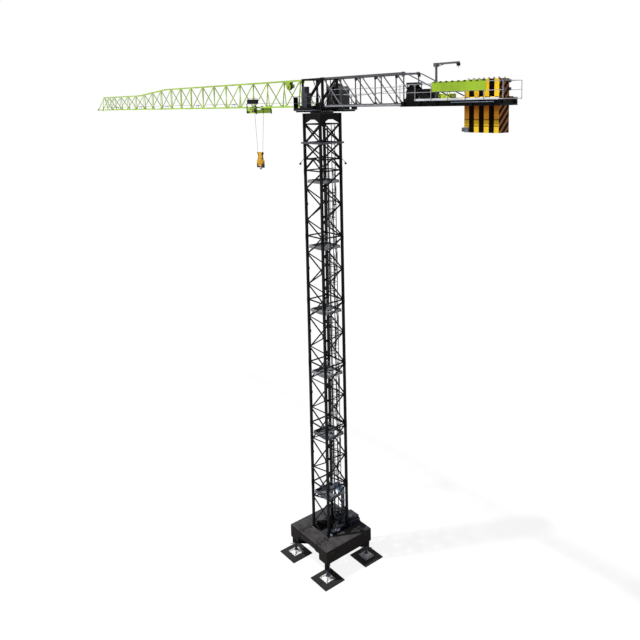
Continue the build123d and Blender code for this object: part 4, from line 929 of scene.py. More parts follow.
@dataclass
class CrossBase(Assembly):
    """Jacks, pads, beam ends and ballast fittings of the cross base."""

    body: Body = Body.MAST
    pad: float = 1.065
    jack_foot: float = -0.43
    spindle: float = 0.042
    ballast: float = 1.21
    opening: float = 0.565
    beam_reach: float = 1.6362
    beam_width: float = 0.19
    cabinet_y: float = -0.8875

    def corners(self) -> list[Matrix]:
        """The moves that take a fitting at +X +Y to the four corners."""
        return [spun(90 * i) for i in range(4)]

    def build(self) -> None:
        """Makes all pieces of the base."""
        self.jacks()
        self.pads()
        self.beams()
        self.ballast_fittings()
        self.cabinets()
        self.switchgear()
        self.cable_drop()

    def jacks(self) -> None:
        """Threads, turning bars, cones and ribs of the screw jacks."""
        threads = [
            hoop(
                "thread", Lie.Z, (self.pad, self.pad, self.jack_foot + 0.145 + 0.016 * i), self.spindle + 0.001, 0.009,
                20)
            for i in range(14)]
        threads.append(bar(
            "turning_bar", (self.pad - 0.17, self.pad - 0.17, -0.085), (self.pad + 0.17, self.pad + 0.17, -0.085),
            0.024, 10, 0.004))
        self.add(copies(threads, self.corners(), "jack_threads"), "jack_steel")
        rib = block(
            "rib", (self.pad + 0.08, self.pad - 0.007, self.jack_foot),
            (self.pad + 0.205, self.pad + 0.007, self.jack_foot + 0.1))
        taper(rib, "+x", (1, 1, 0.2), (0, 0, self.jack_foot), -0.04)
        about = [shift(self.pad, self.pad) @ spun(45 + 90 * i) @ shift(-self.pad, -self.pad) for i in range(4)]
        cone = turned(
            "cone", Lie.Z, (self.pad, self.pad, self.jack_foot),
            [(0.0, 0.15), (0.012, 0.15), (0.03, 0.118), (0.075, 0.098), (0.085, 0.088)], 28)
        ribs = join("jack_ribs", [copies(rib, about, "ribs"), cone])
        self.add(copies(ribs, self.corners(), "jack_ribs"), "bearing_plate")

    def pads(self) -> None:
        """Lifting loops and holding bolts of the foot pads."""
        parts = [bolt("bolt", Lie.Z, (self.pad + x * 0.19, self.pad + y * 0.19, self.jack_foot + 0.008), 0.036)
                 for x in SIDES for y in SIDES]
        self.add(copies(parts, self.corners(), "plate_bolts"), "bolt_zinc")
        loops = [hoop("loop", Lie.Y, (self.pad + x * 0.38, self.pad, -0.447), 0.045, 0.014, 18) for x in SIDES]
        self.add(copies(loops, self.corners(), "pad_loops"), "jack_steel")

    def beams(self) -> None:
        """End plates, stiffeners and shoe bolts of the cross beams."""
        reach, half, top = self.beam_reach, self.beam_width / 2, LEVELS.beam_top
        end = panelled("end_plate", (reach - 0.246, -half - 0.012, 0.012), (reach - 0.232, half + 0.012, top - 0.012),
                       "-x", 0.02, -0.004)
        ribs = [end]
        for along in (0.56, 0.72, 0.86, 1.1):
            for side in SIDES:
                ribs.append(block(
                    "stiffener",
                    *on_side(side, (along - 0.006, 0.01, 0.024), (along + 0.006, half - 0.004, top - 0.024))))
        self.add(copies(ribs, [spun(45 + 90 * i) for i in range(4)], "beam_stiffeners"), "mast_steel")
        bolts = [bolt("bolt", Lie.Z, (0.5 + x * 0.115, 0.5 + y * 0.115, top + 0.028), 0.034)
                 for x, y in ((-1, 0), (1, 0), (0, -1), (0, 1))]
        self.add(copies(bolts, self.corners(), "shoe_bolts"), "bolt_zinc")
        gusset = block("gusset", (0.5 + 0.045, 0.492, top + 0.02), (0.5 + 0.105, 0.508, top + 0.1))
        taper(gusset, "+x", (1, 1, 0.25), (0, 0, top + 0.02))
        about = [shift(0.5, 0.5) @ spun(turn) @ shift(-0.5, -0.5) for turn in (0, 90, 180, 270)]
        self.add(copies(copies(gusset, about, "shoe_gussets"), self.corners(), "shoe_gussets"), "mast_steel")

    def ballast_fittings(self) -> None:
        """Lifting eyes, straps and cast sockets of the ballast blocks, and black strips of painted shade along the
        joints between them.
        """
        top = LEVELS.ballast_top
        eye = hoop("eye", Lie.Y, (0, 0, top + 0.012), 0.034, 0.014, 16)
        places = [shift(x, y) for x in (-0.89, 0.89) for y in (-0.98, -0.36, 0.36, 0.98)]
        places += [shift(x, y) for x in (-0.33, 0.33) for y in (0.89,)]
        self.add(copies(eye, places, "ballast_eyes"), "jack_steel")
        strap = panelled("strap", (-0.13, -0.035, top), (0.13, 0.035, top + 0.012), "+z", 0.012, 0.003)
        bolts = [strap] + [bolt("bolt", Lie.Z, (x, 0, top + 0.018), 0.03) for x in (-0.095, 0.095)]
        places = [shift(x, y) for x in (-self.opening, self.opening) for y in (-0.7, 0.7, 1.1)]
        self.add(copies(bolts, places, "block_straps"), "pad_plate")
        # Black strips along the block joints are painted shade: they stand for the shaded end faces and gaps where the
        # blocks meet.
        strips = []
        for y in SIDES:
            strips.append(block(
                "strip", *on_side(y, (-0.045, self.opening, top - 0.004), (0.045, self.ballast, top + 0.003)), 0.001))
            strips.append(block(
                "strip", (-0.03, y * self.ballast - 0.003, 0.51), (0.03, y * self.ballast + 0.003, top), 0.001))
        made = [copies(strips, [shift(-self.opening), shift(self.opening)], "joint_shade_strips")]
        for side in SIDES:
            low, high = sorted((side * (self.opening + 0.02), side * self.ballast))
            made.append(block("strip", (low, -0.812, top - 0.004), (high, -0.792, top + 0.003), 0.001))
            made.append(block(
                "strip", (side * self.ballast - 0.003, -0.812, 0.3), (side * self.ballast + 0.003, -0.792, top), 0.001))
        self.add(join("joint_shade_strips", made), "black_rubber")
        plate = panelled("socket", (-0.05, -0.004, 0.6), (0.05, 0.004, 0.7), "y", 0.012, -0.003)
        places = [shift(x, self.ballast + 0.001) for x in (-0.9, 0.9)] + [
            shift(x, -self.ballast - 0.001) for x in (-0.9, 0.9)]
        places += [spun(90) @ shift(y, side * (self.ballast + 0.001)) for side in SIDES for y in (-0.9, 0, 0.9)]
        self.add(copies(plate, places, "cast_sockets"), "pad_plate")

    def cabinets(self) -> None:
        """Doors, hoods, hinges and handles of the switch cabinets on the ballast."""
        parts, base, front = [], LEVELS.ballast_top, self.cabinet_y + 0.2
        for left, right, tall in ((-0.48, -0.06, 0.32), (0.03, 0.39, 0.24)):
            parts.append(panelled(
                "door", (left + 0.02, front, base + 0.03), (right - 0.02, front + 0.014, base + tall - 0.03), "+y",
                0.02, -0.005))
            parts.append(panelled(
                "door", (left + 0.02, self.cabinet_y - 0.214, base + 0.03),
                (right - 0.02, self.cabinet_y - 0.2, base + tall - 0.03), "-y", 0.02, -0.005))
            parts.append(block(
                "hood", (left - 0.012, self.cabinet_y - 0.215, base + tall),
                (right + 0.012, front + 0.03, base + tall + 0.014)))
            for z in (0.3, 0.7):
                parts.append(rod(
                    "hinge", "z", (left + 0.03, front + 0.018), base + tall * z - 0.02, base + tall * z + 0.02, 0.012))
        self.add(join("base_cabinet_doors", parts), "cabinet_paint")
        grips = [
            rod(
                "grip", "z", (right - 0.05, self.cabinet_y + 0.222), base + tall / 2 - 0.03, base + tall / 2 + 0.03,
                0.012, 0.002)
            for right, tall in ((-0.06, 0.32), (0.39, 0.24))]
        self.add(join("base_cabinet_grips", grips), "bolt_zinc")

    def switchgear(self) -> None:
        """Motor control units on a tray in the base section and along the ballast."""
        near, far, tray, stand = -0.45, -0.30, 0.535, LEVELS.ballast_top
        dark = [block("tray", (near - 0.01, -0.44, tray - 0.015), (far + 0.01, 0.4, tray))]
        for y in (-0.32, 0.32):
            dark.append(rod("tray_post", "z", (-0.34, y), LEVELS.beam_top, tray - 0.014, 0.04, 0.003))
        for low, high, tall in ((0.02, 0.20, 0.30), (-0.20, -0.02, 0.24), (-0.42, -0.23, 0.37)):
            dark.append(panelled("unit", (near, low, tray), (far, high, tray + tall), "+z -x", 0.018, -0.006))
        long_side = -self.opening + 0.015
        dark.append(panelled("duct_box", (long_side, -1.19, stand), (long_side + 0.07, -0.59, stand + 0.15),
                             "+z -x", 0.015, -0.005))
        dark.append(panelled("relay_box", (-0.47, -1.2, stand), (-0.02, -1.11, stand + 0.24),
                             "y +z", 0.018, -0.005))
        for i in range(5):
            dark.append(block(
                "louvre", (long_side - 0.008, -1.12 + 0.11 * i, stand + 0.04),
                (long_side + 0.004, -1.04 + 0.11 * i, stand + 0.06)))
        self.add(join("base_switchgear", dark), "cabinet_paint")
        pale = [panelled("unit", (near, 0.24, tray), (far, 0.38, tray + 0.2), "x +z", 0.016, 0.006)]
        for y, top in ((0.06, 0.86), (0.15, 0.88), (-0.08, 0.80), (-0.15, 0.81), (-0.3, 0.93), (-0.37, 0.92)):
            pale.append(turned(
                "gland", Lie.Z, (near + 0.05, y, top - 0.03),
                [(0, 0.03), (0.02, 0.03), (0.03, 0.02), (0.05, 0.02), (0.055, 0.012)], 12))
        for x in (-0.42, -0.2):
            pale.append(rod("handrail", "y", (x, stand + 0.35), -1.06, -0.72, 0.016, 0.002))
            for y in (-1.06, -0.72):
                pale.append(rod("handrail", "z", (x, y), stand + 0.31, stand + 0.35, 0.016, 0.002))
        self.add(join("switchgear_glands", pale), "clamp_steel")

    def cable_drop(self) -> None:
        """Stiff cable ducts from the cabinets and the boxes that stand on the first platform."""
        top, floor = LEVELS.ballast_top, LEVELS.first_joint - 0.45 + 0.016
        parts = []
        for i in range(4):
            x = -0.43 + 0.045 * i
            z = top + 0.03 + 0.03 * (i % 2)
            parts.append(rod("duct", "y", (x, z), -0.69, -0.42, 0.034, 0.004, sides=10))
            parts.append(rod("duct", "z", (x, -0.42), z - 0.012, floor + 0.12, 0.034, 0.004, sides=10))
        for i in range(3):
            level = top + 0.3 + 0.45 * i
            parts.append(panelled("clip", (-0.46, -0.445, level), (-0.26, -0.395, level + 0.03), "+y", 0.006, 0.003))
        self.add(join("cable_ducts", parts), "cable_sheath")
        # These boxes take the pale blue finish, which is partly a painted highlight.
        boxes = []
        for low, high, tall in ((-0.46, -0.24, 0.30), (-0.20, -0.03, 0.36), (0.0, 0.16, 0.26)):
            boxes.append(panelled("distributor", (low, -0.425, floor), (high, -0.33, floor + tall),
                                  "y +z", 0.02, -0.008))
        boxes.append(rod("rim", "x", (-0.32, floor + 0.32), -0.46, 0.16, 0.02, 0.003))
        self.add(join("platform_boxes", boxes), "pale_cabinet")


@dataclass
class Mast(Assembly):
    """Joint plates, platform edges, ladder cages, cables and lamps of the mast."""

    body: Body = Body.MAST
    half: float = 0.5
    chord: float = 0.045
    platform_drop: float = 0.45
    lamp_reach: float = 0.9007
    lamp_level: float = 16.27

    def levels(self) -> list[float]:
        """Heights of the joints between sections."""
        return [LEVELS.first_joint + LEVELS.joint_pitch * i for i in range(LEVELS.joints)]

    def joint_moves(self) -> list[Matrix]:
        """The moves that take a fitting at +X +Y to all chords at all joints."""
        return [shift(z=level) @ spun(90 * i) for level in self.levels() for i in range(4)]

    def bay_moves(self, lift: float = 0.0) -> list[Matrix]:
        """The moves to the foot of each full bay, raised by some height."""
        return [shift(z=level + lift) for level in self.levels()[:-1]]

    def build(self) -> None:
        """Makes all pieces of the mast."""
        self.joint_plates()
        self.joint_bolts()
        self.platform_edges()
        self.cable_run()
        self.slack_cable()
        self.gussets()
        self.lamps()

    def joint_plates(self) -> None:
        """Fish plates on the outer faces of the chords at each joint."""
        out = self.half + self.chord
        plates = []
        for swap in (False, True):
            low, high = (out - 0.001, self.half - 0.038, -0.15), (out + 0.012, self.half + 0.038, 0.15)
            if swap:
                low, high = (low[1], low[0], low[2]), (high[1], high[0], high[2])
            plates.append(panelled("fish_plate", low, high, "+x +y", 0.008, 0.003))
        collar = panelled("collar", (self.half - 0.052, self.half - 0.052, -0.016), (out + 0.007, out + 0.007, 0.016),
                          "round", 0.006, 0.002)
        self.add(copies(plates + [collar], self.joint_moves(), "mast_joint_plates"), "mast_steel")

    def joint_bolts(self) -> None:
        """High-strength bolts through the fish plates."""
        out = self.half + self.chord + 0.014
        heads = []
        for z in (-0.11, -0.05, 0.05, 0.11):
            heads.append(bolt("bolt", Lie.X, (out, self.half, z), 0.032))
            heads.append(bolt("bolt", Lie.Y, (self.half, out, z), 0.032))
        self.add(copies(heads, self.joint_moves(), "mast_joint_bolts"), "pin_steel")

    def gussets(self) -> None:
        """Small plates where the lacing meets the chords."""
        out = self.half - self.chord
        plate = block("gusset", (out - 0.075, self.half + 0.018, -0.055), (out + 0.01, self.half + 0.026, 0.055), 0.002)
        taper(plate, "-x", (1, 1, 0.45))
        quarter = (LEVELS.joint_pitch - 0.09) / 4
        moves = []
        for level in self.levels()[:-1]:
            for step in range(1, 4):
                for i in range(4):
                    place = shift(z=level + 0.045 + quarter * step) @ spun(90 * i)
                    moves.append(place if step % 2 else place @ Matrix.Scale(-1, 4, (1, 0, 0)))
        made = copies(plate, moves, "lacing_gussets")
        bpy.ops.object.mode_set(mode="EDIT")
        bpy.ops.mesh.select_all(action="SELECT")
        bpy.ops.mesh.normals_make_consistent(inside=False)
        bpy.ops.object.mode_set(mode="OBJECT")
        self.add(made, "mast_steel")

    def platform_edges(self) -> None:
        """Kick boards and short hand rails round the rest platforms."""
        inner = 0.44
        parts = []
        for side in SIDES:
            parts.append(block("kick", (-inner, side * inner - 0.006, 0.0), (inner, side * inner + 0.006, 0.1)))
            parts.append(block("kick", (side * inner - 0.006, -inner, 0.0), (side * inner + 0.006, inner, 0.1)))
        for x in (-0.375, 0.025):
            parts.append(rod("post", "z", (x, -0.02), 0.0, 0.5, 0.018, 0.003))
        for z in (0.25, 0.49):
            parts.append(rod("rail", "x", (-0.02, z), -0.375, 0.025, 0.018, 0.003))
        moves = [shift(z=level - self.platform_drop + 0.016) for level in self.levels()]
        self.add(copies(parts, moves, "platform_edges"), "platform_mesh")
        self.ladder_cage()

    def ladder_cage(self) -> None:
        """Safety hoops and straps round the ladder, above head height of each rest platform."""
        centre, radius, pitch = (-0.175, -0.21), 0.17, 0.33
        rings = [hoop("cage_hoop", Lie.Z, (*centre, pitch * i), radius, 0.026, 16, 5) for i in range(5)]
        for turn in (0, 45, 90, 135, 180):
            x, y = centre[0] + radius * math.cos(math.radians(turn)), centre[1] + radius * math.sin(math.radians(turn))
            rings.append(rod("cage_strap", "z", (x, y), -0.03, 4 * pitch + 0.2, 0.018, sides=6))
        self.add(copies(rings, self.bay_moves(0.45), "ladder_cages"), "ladder_steel")

    def slack_cable(self) -> None:
        """The supply cable that hangs in bights from clip to clip beside the ladder."""
        x, y, drop = -0.405, -0.2, LEVELS.joint_pitch / 8
        swing = (
            (0.0, 0.0), (0.02, 0.06), (0.03, 0.09), (-0.01, 0.05), (0.0, 0.0), (-0.02, -0.06), (0.02, -0.10),
            (0.01, -0.05), (0.0, 0.0))
        parts = []
        for i in range(8):
            start, end = swing[i], swing[i + 1]
            for offset in (-0.03, 0.035):
                parts.append(bar(
                    "bight", (x + start[0], y + offset + start[1], drop * i - 0.004),
                    (x + end[0], y + offset + end[1], drop * (i + 1) + 0.004), 0.03, 8, 0.003))
        for i in (0, 4):
            parts.append(panelled(
                "clip", (x - 0.025, y - 0.07, drop * i - 0.02), (x + 0.025, y + 0.07, drop * i + 0.02), "x", 0.006,
                0.003))
            parts.append(bar(
                "bracket", (x, y, drop * i), (0.03 - self.half, 0.03 - self.half, drop * i), 0.016, 6, 0.002))
        self.add(copies(parts, self.bay_moves(), "slack_cables"), "black_rubber")

    def cable_run(self) -> None:
        """Clipped supply cables up the far side of the mast."""
        x, y = 0.18, -0.43
        low, high = 0.9, LEVELS.mast_top - 0.5
        parts = [rod("cable", "z", (x + 0.03 * i, y), low, high, 0.024, 0.003) for i in range(3)]
        step = 0.66
        clips = [
            panelled(
                "clip", (x - 0.02, y - 0.018, low + 0.1 + step * i), (x + 0.08, y + 0.018, low + 0.13 + step * i), "y",
                0.004, 0.002)
            for i in range(int((high - low) / step))]
        self.add(join("mast_cables", parts + clips), "cable_sheath")

    def lamps(self) -> None:
        """Lenses of the two floodlights under the collar."""
        proto = turned("lens", Lie.Z, (0, 0, 0), [(0.0, 0.034), (-0.004, 0.036), (-0.01, 0.03), (-0.011, 0.012)], 20)
        tilt = spun(45) @ shift(self.lamp_reach, 0, self.lamp_level)
        self.add(
            copies(
                proto,
                [tilt @ spun(45, "Y") @ shift(0, 0, -0.03), spun(180) @ tilt @ spun(45, "Y") @ shift(0, 0, -0.03)],
                "lamp_lenses"),
            "lamp_lens")


@dataclass
class Head(Assembly):
    """Slewing drives, gussets, pins, braces and rails of the tower head."""

    half: float = 0.36
    front: float = 0.75
    rear: float = -0.56

    def build(self) -> None:
        """Makes all pieces of the head."""
        self.ring_bolts()
        self.drives()
        self.braces()
        self.pins()
        self.rails()
        self.sheave_rim()

    def ring_bolts(self) -> None:
        """Bolt circle of the fixed race."""
        proto = bolt("bolt", Lie.Z, (0.43, 0, LEVELS.mast_top + 0.084), 0.03)
        self.add(copies(proto, [spun(10 * i) for i in range(36)], "ring_bolts"), "bolt_zinc", Body.MAST)
        proto = bolt("bolt", Lie.Z, (0.34, 0, LEVELS.turntable + 0.006), 0.028)
        self.add(copies(proto, [spun(15 * i) for i in range(24)], "turntable_bolts"), "bolt_zinc")

    def drives(self) -> None:
        """Two slewing gear motors with cooling fins and a brake cap."""
        base = LEVELS.turntable
        steps = [(0.0, 0.085), (0.03, 0.085), (0.03, 0.062), (0.15, 0.062), (0.15, 0.074), (0.17, 0.074), (0.17, 0.056)]
        for i in range(8):
            low = 0.17 + 0.02 * i
            steps += [(low, 0.056), (low, 0.066), (low + 0.008, 0.066), (low + 0.008, 0.056)]
        steps += [(0.335, 0.056), (0.34, 0.06), (0.38, 0.06), (0.395, 0.045)]
        proto = turned("drive", Lie.Z, (0.52, 0.2, base), steps, 20)
        self.add(copies(proto, [Matrix.Identity(4), shift(y=-0.4)], "slewing_drives"), "winch_paint")

    def braces(self) -> None:
        """Light diagonals and gussets inside the head."""
        low, high = LEVELS.chord + 0.03, LEVELS.chord_top - 0.03
        parts = []
        for side in SIDES:
            y = side * (self.half - 0.055)
            parts.append(bar("brace", (self.rear + 0.12, y, low), (0.12, y, high), 0.034, 8, 0.004))
            parts.append(bar("brace", (0.3, y, low), (self.front - 0.08, y, low + 0.62), 0.03, 8, 0.004))
        parts.append(bar(
            "brace", (self.rear + 0.05, -self.half + 0.06, high), (self.rear + 0.05, self.half - 0.06, low), 0.03, 8,
            0.004))
        self.add(join("head_braces", parts), "counter_jib_steel")
        plate = block("gusset", (-0.09, -0.006, -0.075), (0.09, 0.006, 0.075))
        taper(plate, "+z", (0.4, 1, 1))
        moves = [shift(x, side * (self.half + 0.04), z + lift) @ spun(0 if lift > 0 else 180, "Y")
                 for side in SIDES for x in (self.rear + 0.1, self.front - 0.1)
                 for z, lift in ((LEVELS.chord, 0.06), (LEVELS.chord_top, -0.06))]
        self.add(copies(plate, moves, "head_gussets"), "head_steel")

    def pins(self) -> None:
        """Lugs and pins that hold the jib and the counter-jib to the head."""
        lug = panelled("lug", (-0.11, 0.036, -0.045), (0.11, 0.052, 0.045), "+y", 0.012, 0.004)
        pin = turned(
            "pin", Lie.Y, (0.055, 0.0, 0.0),
            [
                (-0.062, 0.02), (-0.058, 0.026), (-0.05, 0.026), (-0.05, 0.022), (0.05, 0.022), (0.05, 0.026),
                (0.058, 0.026), (0.062, 0.02)],
            16)
        lugs = join("lug", [lug, block("lug", (-0.11, -0.052, -0.045), (0.11, -0.036, 0.045))])
        moves = [shift(x, side * self.half, z) for side in SIDES for x, z in (
            (self.rear, LEVELS.chord), (self.rear, LEVELS.chord_top), (self.front, LEVELS.chord))]
        self.add(copies(lugs, moves, "head_lugs"), "head_steel")
        self.add(copies(pin, moves, "head_pins"), "pin_steel")

    def rails(self) -> None:
        """End rails, boards and brackets of the walkways beside the head."""
        z = LEVELS.walkway
        parts = []
        for x in (-0.42, 0.76):
            for level in (0.26, 0.52):
                parts.append(rod("rail", "y", (x, z + level), 0.40, 0.80, 0.018, 0.003))
            parts.append(rod("post", "z", (x, 0.41), z, z + 0.53, 0.018, 0.003))
        for level in (0.26, 0.52):
            parts.append(rod("rail", "y", (-0.852, z + level), -1.08, -0.41, 0.018, 0.003))
        parts.append(rod("post", "z", (-0.852, -0.41), z, z + 0.53, 0.018, 0.003))
        self.add(join("walkway_end_rails", parts), "railing_steel")
        boards = [
            block("board", (-0.42, 0.806, z), (0.76, 0.812, z + 0.09)),
            block("board", (-0.86, -1.094, z), (-0.53, -1.088, z + 0.09)),
            block("end_panel", (0.735, 0.60, z), (0.755, 0.80, z + 0.5))]
        for x in (-0.36, 0.1, 0.62):
            boards.append(panelled("bracket", (x, 0.40, z - 0.085), (x + 0.03, 0.78, z - 0.031), "x", 0.008, -0.004))
        for x in (-0.78, -0.3, 0.2):
            boards.append(panelled("bracket", (x, -1.06, z - 0.085), (x + 0.03, -0.40, z - 0.031), "x", 0.008, -0.004))
        self.add(join("walkway_boards", boards), "head_steel")

    def sheave_rim(self) -> None:
        """Grooved rim of the rope sheave in the head."""
        z = LEVELS.chord + 0.0833
        rims = [hoop("rim", Lie.Y, (0.3, y, z), 0.0735, 0.008, 28) for y in (-0.0135, 0.0135)]
        cap = turned("cap", Lie.Y, (0.3, 0, z), [(-0.048, 0.016), (-0.044, 0.02), (0.044, 0.02), (0.048, 0.016)], 16)
        self.add(join("head_sheave_rims", rims + [cap]), "wheel_steel")


@dataclass
class Cab(Assembly):
    """Frames, door, seat, console and roof unit of the operator's cab."""

    back: float = -0.5
    front: float = 0.225
    near: float = -0.4253
    far: float = -1.0153
    roof: float = 19.3
    window: tuple[float, float] = (18.7, 19.234)
    window_half: float = 0.2305

    def build(self) -> None:
        """Makes all pieces of the cab."""
        self.window_frames()
        self.door()
        self.inside()
        self.outside()

    def window_frames(self) -> None:
        """Rubber frames round the side windows and a glazing bar in the near one."""
        low, high = self.window
        middle, half = (self.back + self.front) / 2 - 0.022, self.window_half
        parts = []
        for y in (self.near + 0.004, self.far - 0.004):
            for z in (low, high):
                parts.append(rod("seal", "x", (y, z), middle - half, middle + half, 0.016, 0.002))
            for x in (middle - half, middle + half):
                parts.append(rod("seal", "z", (x, y), low, high, 0.016, 0.002))
        parts.append(rod("glazing_bar", "z", (middle, self.near + 0.004), low, high, 0.014, 0.002))
        self.add(join("window_seals", parts), "black_rubber")

    def door(self) -> None:
        """Door leaf on the near side with its handle and hinges."""
        y = self.near
        leaf = panelled("door", (self.back + 0.03, y, 18.43), (self.back + 0.36, y + 0.014, 18.69),
                        "+y", 0.03, -0.006)
        hinges = [rod("hinge", "z", (self.back + 0.035, y + 0.014), z, z + 0.05, 0.014) for z in (18.5, 18.95)]
        self.add(join("cab_door", [leaf] + hinges), "cab_paint")
        grip = [rod("grip", "z", (self.back + 0.33, y + 0.03), 18.62, 18.74, 0.012, 0.002)]
        grip += [rod("grip", "y", (self.back + 0.33, z), y + 0.008, y + 0.034, 0.012, 0.002) for z in (18.625, 18.735)]
        self.add(join("cab_grip", grip), "bolt_zinc")

    def inside(self) -> None:
        """Seat and two control consoles."""
        y = (self.near + self.far) / 2
        seat = [block("cushion", (-0.28, y - 0.11, 18.62), (-0.06, y + 0.11, 18.67), 0.02),
                block("backrest", (-0.32, y - 0.105, 18.67), (-0.275, y + 0.105, 18.98), 0.02),
                block("headrest", (-0.315, y - 0.06, 18.99), (-0.28, y + 0.06, 19.06), 0.015)]
        self.add(join("cab_seat", seat), "seat_cloth")
        stand = [turned(
            "pedestal", Lie.Z, (-0.17, y, 18.424),
            [(0, 0.09), (0.015, 0.09), (0.03, 0.035), (0.19, 0.035), (0.196, 0.08)], 16)]
        for side in SIDES:
            stand.append(panelled(
                "console", (-0.26, y + side * 0.16 - 0.04, 18.6), (-0.04, y + side * 0.16 + 0.04, 18.72), "+z", 0.01,
                -0.004))
            stand.append(turned(
                "lever", Lie.Z, (-0.08, y + side * 0.16, 18.716),
                [(0, 0.02), (0.01, 0.012), (0.07, 0.008), (0.08, 0.016), (0.1, 0.012)], 12))
        self.add(join("cab_consoles", stand), "winch_paint")

    def outside(self) -> None:
        """Roof unit, rain gutter, wiper and grab rail."""
        y = (self.near + self.far) / 2
        unit = panelled(
            "roof_unit", (-0.25, y - 0.14, self.roof), (0.05, y + 0.14, self.roof + 0.11), "y +z", 0.03, -0.006)
        fan = turned(
            "fan", Lie.Z, (-0.1, y, self.roof + 0.1),
            [(0, 0.1), (0.014, 0.1), (0.016, 0.085), (0.008, 0.07), (0.018, 0.03)], 20)
        gutter = [rod("gutter", "x", (side, self.roof - 0.006), self.back + 0.12, self.front - 0.06, 0.02, 0.003)
                  for side in (self.near, self.far)]
        self.add(join("cab_roof_unit", [unit, fan] + gutter), "cab_paint")
        slope = Vector((self.front - 0.055, 0, self.roof)) - Vector((self.front, 0, 18.7))
        foot = Vector((self.front + 0.012, y - 0.12, 18.72))
        arm = [
            bar("wiper", tuple(foot), tuple(foot + slope * 0.7), 0.008, 6, 0.001),
            bar(
                "wiper", tuple(foot + slope * 0.35 + Vector((0, -0.012, 0))),
                tuple(foot + slope * 0.8 + Vector((0, -0.012, 0))), 0.01, 6, 0.001),
            turned(
                "pivot", Lie.X, tuple(foot - Vector((0.016, 0, 0))), [(0, 0.016), (0.018, 0.014), (0.022, 0.008)], 12)
        ]
        self.add(join("cab_wiper", arm), "black_rubber")
        rail = [
            bar(
                "grab", (self.front - 0.01, self.near + 0.02, 18.5), (self.front + 0.02, self.near + 0.02, 18.7), 0.014,
                8, 0.002),
            rod("grab", "z", (self.back + 0.02, self.near + 0.03), 18.5, 19.1, 0.014, 0.002)]
        self.add(join("cab_grab_rails", rail), "railing_steel")


@dataclass
class Cabinets(Assembly):
    """Doors, louvres, hinges and cable entries of the control cabinets."""

    x: float = 0.16
    y: float = 0.6053
    long: float = 0.3
    deep: float = 0.2
    tall: float = 0.65
    top_x: float = 0.215
    top_long: float = 0.19
    top_tall: float = 0.25

    def build(self) -> None:
        """Makes all pieces of the cabinets."""
        base = LEVELS.walkway
        face = self.y + self.deep / 2
        parts = []
        for low, high in ((0.03, 0.33), (0.345, 0.625)):
            for side in SIDES:
                inner, outer = sorted(self.y + side * (self.deep / 2 + out) for out in (0, 0.012))
                parts.append(panelled(
                    "door", (self.x - self.long / 2 + 0.012, inner, base + low),
                    (self.x + self.long / 2 - 0.012, outer, base + high), "y", 0.018, -0.004))
        parts.append(panelled(
            "top_door", (self.top_x - self.top_long / 2 + 0.01, face, base + self.tall + 0.02),
            (self.top_x + self.top_long / 2 - 0.01, face + 0.01, base + self.tall + self.top_tall - 0.02), "+y", 0.015,
            -0.004))
        parts.append(block(
            "hood", (self.x - self.long / 2 - 0.008, self.y - self.deep / 2 - 0.016, base + self.tall - 0.012),
            (self.top_x - self.top_long / 2 - 0.002, self.y + self.deep / 2 + 0.016, base + self.tall + 0.004)))
        for i in range(6):
            parts.append(block(
                "louvre", (self.x - 0.09, face + 0.006, base + 0.07 + 0.026 * i),
                (self.x + 0.09, face + 0.018, base + 0.082 + 0.026 * i)))
        self.add(join("cabinet_doors", parts), "cabinet_paint")
        metal = []
        for z in (0.18, 0.48):
            metal.append(rod(
                "handle", "z", (self.x + 0.11, face + 0.018), base + z - 0.03, base + z + 0.03, 0.014, 0.002))
        for z in (0.08, 0.28, 0.38, 0.58):
            metal.append(rod("hinge", "z", (self.x - 0.135, face + 0.012), base + z - 0.02, base + z + 0.02, 0.012))
        self.add(join("cabinet_handles", metal), "bolt_zinc")
        ducts = []
        for i in range(5):
            x = self.x - 0.11 + 0.055 * i
            ducts.append(bar(
                "cable", (x, self.y - 0.04, base + 0.012), (x - 0.22, self.y - 0.15, base + 0.012), 0.02, 8, 0.002))
        self.add(join("cabinet_ducts", ducts), "cable_sheath")


